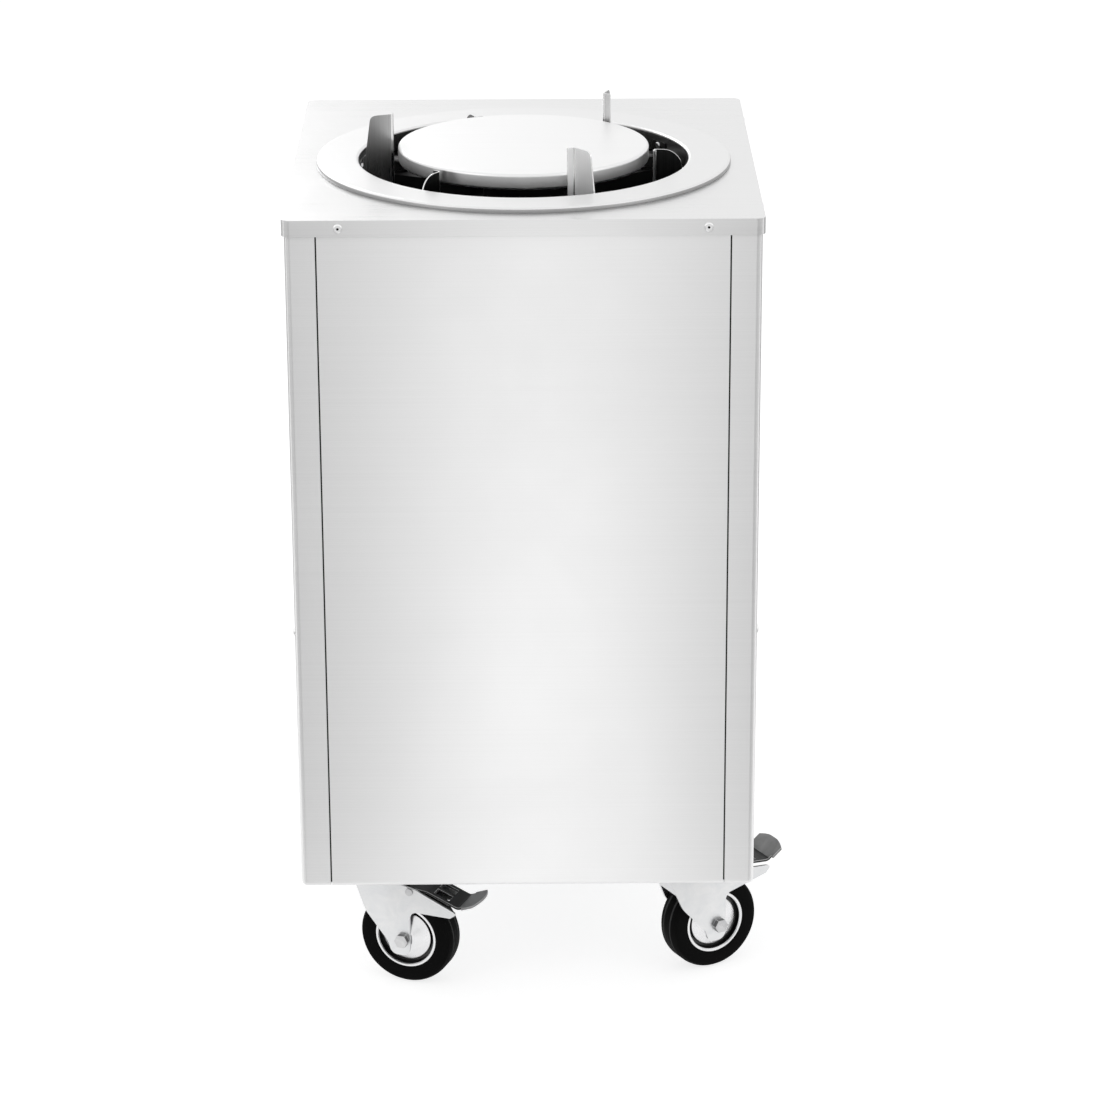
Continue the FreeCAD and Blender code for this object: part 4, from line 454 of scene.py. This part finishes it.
def finish_piece(name, shape, body, slot, materials, *nodes, sheet=0.0):
    """Object from a bmesh, riding on its body in place of the given nodes."""
    mesh = bpy.data.meshes.new(name)
    shape.to_mesh(mesh)
    shape.free()
    for material in materials:
        mesh.materials.append(material)
    mesh.shade_smooth()
    mesh.set_sharp_from_angle(angle=SMOOTH_ANGLE)
    piece = bpy.data.objects.new(name, mesh)
    scene.collection.objects.link(piece)
    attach(piece, body)
    if nodes:
        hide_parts(*nodes)
    if sheet:
        thickness = piece.modifiers.new("sheet", "SOLIDIFY")
        thickness.thickness = sheet
        thickness.offset = -1
    flats = piece.modifiers.new("flat_faces", "WEIGHTED_NORMAL")
    flats.keep_sharp = True
    return piece

def node_body(node):
    """Body that a node rides on."""
    return frame["nodes"][node]["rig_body"]

def node_slot(node):
    """Material slot of a node in the record."""
    return next(part["material_slot"] for part in frame["record"]["subparts"] if part["node"] == node)

def sharp_edges(shape, degrees):
    """Edges where two faces meet at more than an angle."""
    limit = math.radians(degrees)
    return [edge for edge in shape.edges if len(edge.link_faces) == 2 and edge.calc_face_angle(0) > limit]

def ease(shape, edges, width, segments=2):
    """Rounds edges over, and returns the new faces."""
    made = bmesh.ops.bevel(shape, geom=edges, offset=width, offset_type="OFFSET", affect="EDGES",
                           segments=segments, profile=0.5, material=-1, clamp_overlap=True)
    return made["faces"]

print("edges stay smooth up to", round(math.degrees(SMOOTH_ANGLE)), "degrees")

# %% [markdown]
# ## Deck
# The deck is one sheet, folded down all round and cut for the well. A rectangle gets rounded corners by
# bevelling its vertices. An inset keeps a strip of clean quads beside the fold, the middle is filled
# round a circle, and the fold itself is a bevelled edge.

# %% Deck
SHEET = 0.0012
FOLD = 0.0025
FOLD_STEPS = 6
FOLD_DEGREES = 60
FOLD_STRIP = 0.012
DECK_CORNER = 0.0085
CORNER_STEPS = 8
COLLAR = 0.163
HOLE_PLAY = 0.002
HOLE_STEPS = 128
FLANK_SLOPE = 0.5

def face_upwards(shape):
    """Turns an open sheet so that its top looks up."""
    top = max(shape.faces, key=lambda face: face.calc_center_median().z)
    if top.normal.z < 0:
        bmesh.ops.reverse_faces(shape, faces=shape.faces[:])

def paint_flanks(shape):
    """Second material on upright faces; on the ring and the platform it is painted shade."""
    for face in shape.faces:
        face.material_index = int(abs(face.normal.z) < FLANK_SLOPE)

deck_low, deck_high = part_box("top_cover")
ring_low, ring_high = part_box("rim_ring")
WELL = Vector(((ring_low.x + ring_high.x) / 2, (ring_low.y + ring_high.y) / 2, 0))
RING_OUTER = (ring_high.x - ring_low.x) / 2
DECK_HOLE = COLLAR + HOLE_PLAY

shape = bmesh.new()
bmesh.ops.create_grid(shape, x_segments=1, y_segments=1, size=0.5)
bmesh.ops.scale(shape, vec=(deck_high.x - deck_low.x, deck_high.y - deck_low.y, 1), verts=shape.verts)
bmesh.ops.translate(shape, vec=(0, 0, deck_high.z), verts=shape.verts)
bmesh.ops.bevel(shape, geom=shape.verts[:], offset=DECK_CORNER, affect="VERTICES", segments=CORNER_STEPS,
                profile=0.5, material=-1)
bmesh.ops.inset_region(shape, faces=shape.faces[:], thickness=FOLD_STRIP, use_even_offset=True)
middle = max(shape.faces, key=lambda face: face.calc_area())
inner_loop = middle.edges[:]
bmesh.ops.delete(shape, geom=[middle], context="FACES_ONLY")
hole = bmesh.ops.create_circle(shape, cap_ends=False, radius=DECK_HOLE, segments=HOLE_STEPS,
                               matrix=Matrix.Translation(WELL + Vector((0, 0, deck_high.z))))
hole_edges = {edge for vert in hole["verts"] for edge in vert.link_edges}
bmesh.ops.triangle_fill(shape, use_beauty=True, use_dissolve=False, edges=inner_loop + list(hole_edges))
rim = [edge for edge in shape.edges if edge.is_boundary and edge not in hole_edges]
lip = bmesh.ops.extrude_edge_only(shape, edges=rim)
lip_verts = [item for item in lip["geom"] if isinstance(item, bmesh.types.BMVert)]
bmesh.ops.translate(shape, vec=(0, 0, deck_low.z - deck_high.z), verts=lip_verts)
bmesh.ops.recalc_face_normals(shape, faces=shape.faces[:])
face_upwards(shape)
fold_edges = [edge for edge in sharp_edges(shape, FOLD_DEGREES)
              if all(vert.co.z > deck_high.z - FOLD for vert in edge.verts)]
ease(shape, fold_edges, FOLD, FOLD_STEPS)
paint_flanks(shape)
deck = finish_piece("deck", shape, "cabinet", "stainless_deck", [DECK_STEEL, LIP_STEEL], "top_cover",
                    sheet=SHEET)
print("deck faces", len(deck.data.polygons))

# %% [markdown]
# ## Turned pieces
# The ring, the platform, the tyres and the wheel discs are all round. Each starts as half a section: a
# few points joined by edges, spun once round its axis. Where the section has a corner, the spun circle
# is bevelled. A closed section gives a solid, an open one a sheet that solidify thickens.

# %% Spinning
UP = Vector((0, 0, 1))
ROUND_STEPS = 144
MERGE = 1e-6
ON_CIRCLE = 1e-4

def spin_section(points, axis_at, axis, outward, steps, closed):
    """Surface of revolution of (radius, height) points; outward is the direction of the radius."""
    shape = bmesh.new()
    verts = [shape.verts.new(axis_at + outward * radius + axis * height) for radius, height in points]
    pairs = list(zip(verts, verts[1:] + verts[:1])) if closed else list(zip(verts, verts[1:]))
    edges = [shape.edges.new(pair) for pair in pairs]
    bmesh.ops.spin(shape, geom=verts + edges, cent=axis_at, axis=axis, angle=2 * math.pi, steps=steps,
                   use_merge=True)
    bmesh.ops.remove_doubles(shape, verts=shape.verts[:], dist=MERGE)
    bmesh.ops.recalc_face_normals(shape, faces=shape.faces[:])
    return shape

def circles_near(shape, axis_at, axis, radius, height):
    """Edges of the spun circle that passes at a radius and a height."""
    found = []
    for edge in shape.edges:
        marks = []
        for vert in edge.verts:
            along = (vert.co - axis_at).dot(axis)
            out = ((vert.co - axis_at) - axis * along).length
            marks.append(abs(along - height) < ON_CIRCLE and abs(out - radius) < ON_CIRCLE)
        if all(marks):
            found.append(edge)
    return found

print("steps round", ROUND_STEPS)

# %% [markdown]
# The ring lies on the deck and turns down into the well as a collar. The platform is a shallow pan
# with its open side down, and its edge is folded in. Both are thin sheet, so an open section is spun
# and thickened, which keeps one even wall. Their flanks take a darker copy of their steel as painted
# shade: much darker on the ring's edge and collar, a little darker on the platform's skirt.

# %% Ring and platform
RING_SHEET = 0.0015
RING_FOLD = 0.003
PLATFORM_LIP = 0.006

points = [(RING_OUTER, deck_high.z), (RING_OUTER, ring_high.z),
          (COLLAR, ring_high.z), (COLLAR, ring_low.z)]
shape = spin_section(points, WELL, UP, Vector((1, 0, 0)), ROUND_STEPS, False)
for radius, height in points[1:3]:
    ease(shape, circles_near(shape, WELL, UP, radius, height), RING_FOLD, FOLD_STEPS)
face_upwards(shape)
paint_flanks(shape)
ring = finish_piece("well_ring", shape, "cabinet", "stainless_deck", [RING_STEEL, RING_SHADE_SIDE], "rim_ring",
                    sheet=RING_SHEET)

plate_low, plate_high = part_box("platform")
PLATE_RADIUS = (plate_high.x - plate_low.x) / 2
points = [(0, plate_high.z), (PLATE_RADIUS / 2, plate_high.z), (PLATE_RADIUS, plate_high.z),
          (PLATE_RADIUS, plate_low.z), (PLATE_RADIUS - PLATFORM_LIP, plate_low.z)]
shape = spin_section(points, WELL, UP, Vector((1, 0, 0)), ROUND_STEPS, False)
for radius, height in points[2:4]:
    ease(shape, circles_near(shape, WELL, UP, radius, height), RING_FOLD, FOLD_STEPS)
face_upwards(shape)
paint_flanks(shape)
# The skirt takes the ring's steel, a little darker than the top: painted shade.
platform = finish_piece("plate_platform", shape, "carriage", "stainless_deck", [PLATE_STEEL, RING_STEEL],
                        "platform", sheet=RING_SHEET)
print("ring", len(ring.data.polygons), "platform", len(platform.data.polygons))

# %% [markdown]
# ## Folded and pressed pieces
# Panels, guide blades, forks and pedals already have their true shape in the frame, but its edges are
# knife sharp, and a sharp edge catches no light. So each gets a copy: its loose triangles are merged,
# flat areas are joined into single faces, and every crisp edge is eased by a few tenths of a
# millimetre. The frame's own mesh isn't touched.

# %% Eased copies
FLAT_ANGLE = math.radians(1.5)
CRISP_DEGREES = 35
PANEL_EDGE = 0.0005
RECESS_EDGE = 0.0003
GUIDE_EDGE = 0.0003
CUT_EDGE_AREA = 0.0012

def merged_copy(node):
    """Bmesh of a node with its triangles joined up and its flat areas made single faces."""
    shape = bmesh.new()
    shape.from_mesh(frame["nodes"][node].data)
    bmesh.ops.remove_doubles(shape, verts=shape.verts[:], dist=MERGE)
    bmesh.ops.dissolve_limit(shape, angle_limit=FLAT_ANGLE, use_dissolve_boundaries=False,
                             verts=shape.verts[:], edges=shape.edges[:], delimit={"NORMAL"})
    return shape

def eased_copy(node, name, width, materials, pick=None):
    """Copy of a node with eased edges; pick chooses a face's material, and the edges get the last."""
    shape = merged_copy(node)
    edges = ease(shape, sharp_edges(shape, CRISP_DEGREES), width)
    for face in shape.faces:
        face.material_index = pick(face) if pick else 0
    for face in edges:
        face.material_index = len(materials) - 1
    return finish_piece(name, shape, node_body(node), node_slot(node), materials, node)

def cut_edge(face):
    """1 on the narrow faces where a blade was cut, 0 on its broad ones."""
    return int(face.calc_area() < CUT_EDGE_AREA)

PANELS = (
    # node, new name, edge width
    ("front_panel", "front_wall", PANEL_EDGE),
    ("rear_panel", "rear_wall", PANEL_EDGE),
    ("left_side_panel", "left_wall", PANEL_EDGE),
    ("right_side_panel", "right_wall", PANEL_EDGE),
    ("control_pan", "control_recess", RECESS_EDGE),
)
for node, name, width in PANELS:
    eased_copy(node, name, width, [PANEL_STEEL])
# Each blade's tone is painted light or shade: lit on the front tall blade, shaded on the low ones.
GUIDES = (
    # node, new name, steel
    ("tall_guide_1", "rear_tall_blade", GUIDE_STEEL),
    ("tall_guide_2", "left_tall_blade", GUIDE_STEEL),
    ("tall_guide_3", "front_tall_blade", LIT_GUIDE_STEEL),
    ("low_guide_1", "rear_low_blade", SHADED_GUIDE_STEEL),
    ("low_guide_2", "front_low_blade", SHADED_GUIDE_STEEL),
    ("low_guide_3", "right_low_blade", SHADED_GUIDE_STEEL),
)
for node, name, steel in GUIDES:
    eased_copy(node, name, GUIDE_EDGE, [steel, EDGE_STEEL], pick=cut_edge)
print("eased", len(PANELS) + len(GUIDES))

# %% [markdown]
# The pop rivets are one node with many heads. The head of a pop rivet keeps the bore its pin was
# pulled through, and shade fills it. So the heads are told apart first, and the faces that lie wholly
# within the bore are painted black as painted shade, while the head round it stays bright. The deck's
# lip runs on behind the heads, so each bore is drawn up until it ends in front of the sheet.

# %% Rivets
RIVET_BORE = 0.00125
BORE_DEPTH = 0.0012

def loose_parts(shape):
    """Groups of vertices that hang together."""
    left = set(shape.verts)
    groups = []
    while left:
        group = [left.pop()]
        for vert in group:
            for edge in vert.link_edges:
                other = edge.other_vert(vert)
                if other in left:
                    left.remove(other)
                    group.append(other)
        groups.append(group)
    return groups

def off_axis(point, middle, along):
    """Distance of a point from a rivet's axis, which runs along one coordinate."""
    off = point - middle
    off[along] = 0
    return off.length

shape = merged_copy("pop_rivets")
rivets = loose_parts(shape)
for group in rivets:
    low, high = [Vector([pick(vert.co[i] for vert in group) for i in range(3)]) for pick in (min, max)]
    middle = (low + high) / 2
    along = 1 if low.y < deck_low.y or high.y > deck_high.y else 0
    bore = {vert for vert in group if off_axis(vert.co, middle, along) < RIVET_BORE}
    top = max(low[along], high[along], key=abs)
    for vert in bore:
        if abs(vert.co[along] - top) > BORE_DEPTH:
            vert.co[along] = top - math.copysign(BORE_DEPTH, top)
    # Faces wholly inside the bore take painted shade, near black.
    for face in {face for vert in group for face in vert.link_faces}:
        face.material_index = int(bore.issuperset(face.verts))
finish_piece("rivets", shape, "cabinet", "rivet_alloy", [RIVET_ALLOY, SHADOW_BLACK], "pop_rivets")
print("rivets", len(rivets))

# %% [markdown]
# ## Castors
# Tyre and wheel disc are spun round the axle that the rolling joint gives. Their sections carry what
# the eye looks for in a castor: a bright flange at the tyre, a recess inside it painted dark as painted
# shade, and two grooves in the tread painted lighter as a painted highlight. Fork, bolts and pedal are
# eased copies, the flanks of the bolts are painted darker as painted shade, and the pedal's tread has
# worn lighter.

# %% Castors
CASTORS = ("front_left", "front_right", "rear_right", "rear_left")
TYRE_STEPS = 96
WHEEL_RADIUS = 0.05
TYRE_HALF = 0.015
RIM_RADIUS = 0.0332
RIM_DISC = 0.0256
RIM_FLANGE = 0.03
TREAD_START = 0.098
GROOVE_FROM = 0.0045
GROOVE_TO = 0.0075
GROOVE_DEPTH = 0.0002
FORK_EDGE = 0.0005
BOLT_EDGE = 0.0004
PEDAL_EDGE = 0.0005

def mirrored(half):
    """Closed section from its half on the positive side."""
    return half + [(radius, -height) for radius, height in reversed(half)]

def tyre_section():
    """Half of the tyre: flank with a shallow step, shoulder, and a groove in the tread."""
    return mirrored([
        (RIM_RADIUS, 0.0142), (0.0345, TYRE_HALF), (0.0445, TYRE_HALF), (0.0478, 0.0134),
        (0.0495, 0.0105), (WHEEL_RADIUS, 0.0077), (0.0498, 0.0073), (0.0484, 0.0062),
        (0.0484, 0.0058), (0.0498, 0.0047), (WHEEL_RADIUS, 0.0043)])

def rim_section():
    """Half of the wheel's centre: hub, dished disc, recess and bright flange."""
    return mirrored([
        (0.00406, 0.018), (0.0095, 0.018), (0.0108, 0.0171), (0.018, 0.0141), (0.0245, 0.0113),
        (0.0258, 0.0103), (0.0258, 0.0065), (0.0265, 0.0058), (0.0292, 0.0058), (0.0298, 0.0064),
        (0.0298, 0.0128), (0.0306, 0.0138), (0.0325, 0.0138), (RIM_RADIUS, 0.0133)])

def on_axle(face, hub, axle):
    """Distance of a face from the axle's line, and its place along it."""
    offset = face.calc_center_median() - hub
    along = offset.dot(axle)
    return (offset - axle * along).length, abs(along)

for castor in CASTORS:
    roll = joints[castor + "_roll"]
    hub = Vector(roll["pos_m"])
    axle = Vector(roll["axis"]).normalized()
    kingpin = Vector(joints[castor + "_steer"]["pos_m"])
    shape = spin_section(tyre_section(), hub, axle, UP, TYRE_STEPS, True)
    # The groove faces take a lighter rubber: a painted highlight along the tread.
    for face in shape.faces:
        radius, along = on_axle(face, hub, axle)
        sunk = RIM_RADIUS < radius < WHEEL_RADIUS - GROOVE_DEPTH
        face.material_index = int(sunk and GROOVE_FROM < along < GROOVE_TO)
    finish_piece(castor + "_tread", shape, castor + "_wheel", "tyre_black", [TYRE_RUBBER, TYRE_GROOVE_HIGHLIGHT],
                 castor + "_tyre")
    shape = spin_section(rim_section(), hub, axle, UP, TYRE_STEPS, True)
    # The recess between disc and flange is painted near black: painted shade.
    for face in shape.faces:
        face.material_index = int(RIM_DISC < on_axle(face, hub, axle)[0] < RIM_FLANGE)
    finish_piece(castor + "_disc", shape, castor + "_wheel", "rim_steel", [RIM_ZINC, RIM_RECESS_SHADE],
                 castor + "_rim")
    eased_copy(castor + "_fork", castor + "_yoke", FORK_EDGE, [ZINC, RIM_ZINC])
    # Bolt faces that look across the axle, flanks and shanks, are painted darker: painted shade.
    eased_copy(castor + "_axle_set", castor + "_bolts", BOLT_EDGE, [BOLT_STEEL, BOLT_FLANK_SHADE, BOLT_STEEL],
               pick=lambda face: int(abs(face.normal.dot(axle)) < FLANK_SLOPE))
    eased_copy(castor + "_pedal", castor + "_lever", PEDAL_EDGE, [PEDAL_STEEL, PEDAL_TREAD, WORN_EDGE],
               pick=lambda face: int((face.calc_center_median() - kingpin).xy.length > TREAD_START))
print("castors", len(CASTORS))

# %% [markdown]
# ## Lift spring
# The platform rests on one long compression spring. A circle of wire is spun round the well's axis and
# shifted upwards at every step, which makes a screw. The end coils lie closed, so they climb less.

# %% Spring
spring_low, spring_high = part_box("lift_spring")
WIRE = 0.003
WIRE_SIDES = 12
COIL_GAP = 0.0007
SPRING_RADIUS = (spring_high.x - spring_low.x) / 2 - WIRE
SPRING_TURNS = 22
CLOSED_RISE = 2 * WIRE + COIL_GAP
STEPS_A_TURN = 36

def spring_runs():
    """Turns and rise per turn of the lower end coil, the open coils and the upper end coil."""
    height = spring_high.z - spring_low.z - 2 * WIRE
    open_rise = (height - 2 * CLOSED_RISE) / (SPRING_TURNS - 2)
    return [(1, CLOSED_RISE), (SPRING_TURNS - 2, open_rise), (1, CLOSED_RISE)]

shape = bmesh.new()
start = WELL + Vector((SPRING_RADIUS, 0, spring_low.z + WIRE))
bmesh.ops.create_circle(shape, cap_ends=True, radius=WIRE, segments=WIRE_SIDES,
                        matrix=Matrix.Translation(start) @ Matrix.Rotation(math.pi / 2, 4, "X"))
end_face = shape.faces[:]
for turns, rise in spring_runs():
    steps = turns * STEPS_A_TURN
    made = bmesh.ops.spin(shape, geom=end_face, cent=WELL, axis=UP, angle=2 * math.pi * turns,
                          steps=steps, dvec=UP * (rise / STEPS_A_TURN))
    end_face = [item for item in made["geom_last"] if isinstance(item, bmesh.types.BMFace)]
bmesh.ops.remove_doubles(shape, verts=shape.verts[:], dist=MERGE)
bmesh.ops.recalc_face_normals(shape, faces=shape.faces[:])
spring = finish_piece("lift_coil", shape, "cabinet", "spring_steel", [SPRING_WIRE], "lift_spring")
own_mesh(spring)
print("spring faces", len(spring.data.polygons))

# %% [markdown]
# ## Marks on the controls
# The dial sits in the recess at the rear. It needs a pointer on its grip and a ring of plain ticks on
# the recess floor, one for each step of its turn. They are thin bars, half sunk into what carries them.

# %% Marks
MARK_DEPTH = 0.0003
KNOB_GAP = 0.0004
POINTER_RISE = 0.0098
POINTER_SIZE = (0.0014, MARK_DEPTH, 0.009)
TICKS = 11
TICK_RADIUS = 0.0235
TICK_SIZE = (0.0009, MARK_DEPTH, 0.004)

def add_bar(shape, centre, size, turn=0.0):
    """Thin box, turned about the dial's axis."""
    place = Matrix.Translation(centre) @ Matrix.Rotation(turn, 4, "Y") @ Matrix.Diagonal((*size, 1))
    bmesh.ops.create_cube(shape, size=1.0, matrix=place)

knob_low, knob_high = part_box("thermostat_knob")
dial = joints["thermostat_turn"]
dial_at = Vector(dial["pos_m"])
shape = bmesh.new()
add_bar(shape, Vector((dial_at.x, knob_high.y, dial_at.z + POINTER_RISE)), POINTER_SIZE)
finish_piece("dial_pointer", shape, "thermostat_dial", "bush_polymer", [MARK_WHITE])
shape = bmesh.new()
for step in range(TICKS):
    turn = math.radians(dial["range_deg"][0]) * step / (TICKS - 1)
    centre = Vector((dial_at.x, knob_low.y - KNOB_GAP, dial_at.z))
    out = Vector((math.sin(turn), 0, math.cos(turn)))
    add_bar(shape, centre + out * TICK_RADIUS, TICK_SIZE, turn)
finish_piece("dial_ticks", shape, "cabinet", "black_plastic", [BLACK_PLASTIC])
print("ticks", TICKS)

# %% [markdown]
# ## Nodes that stay
# What is left has the right shape already and only needs its finish.

# %% Finishes of the remaining nodes
# The corner posts are black so that the seams between the panels show dark: painted shade in those gaps.
KEPT = {
    "corner_posts": ENAMEL, "base_pan": GALVANISED, "spring_cup": GALVANISED,
    "heater_brackets": GALVANISED, "well_liner": ENAMEL, "rod_brackets": ENAMEL,
    "carriage_spider": ENAMEL, "platform_post": ENAMEL, "guide_rods": CHROME,
    "stop_buffers": BUFFER_RUBBER, "carriage_bushes": BUSH_POLYMER, "guide_screws": BOLT_STEEL,
    "platform_screws": BOLT_STEEL, "castor_bolts": BOLT_STEEL, "castor_plates": ZINC, "kingpins": ZINC,
    "heating_element": HEATER_SHEATH, "terminal_block": CERAMIC, "thermostat_body": BLACK_PLASTIC,
    "thermostat_knob": BLACK_PLASTIC, "switch_housing": BLACK_PLASTIC, "cord_gland": BLACK_PLASTIC,
    "switch_rocker": ROCKER_RED, "pilot_lamp": LAMP_AMBER,
}
for node, material in KEPT.items():
    for slot in frame["nodes"][node].material_slots:
        slot.material = material
print("kept", len(KEPT))
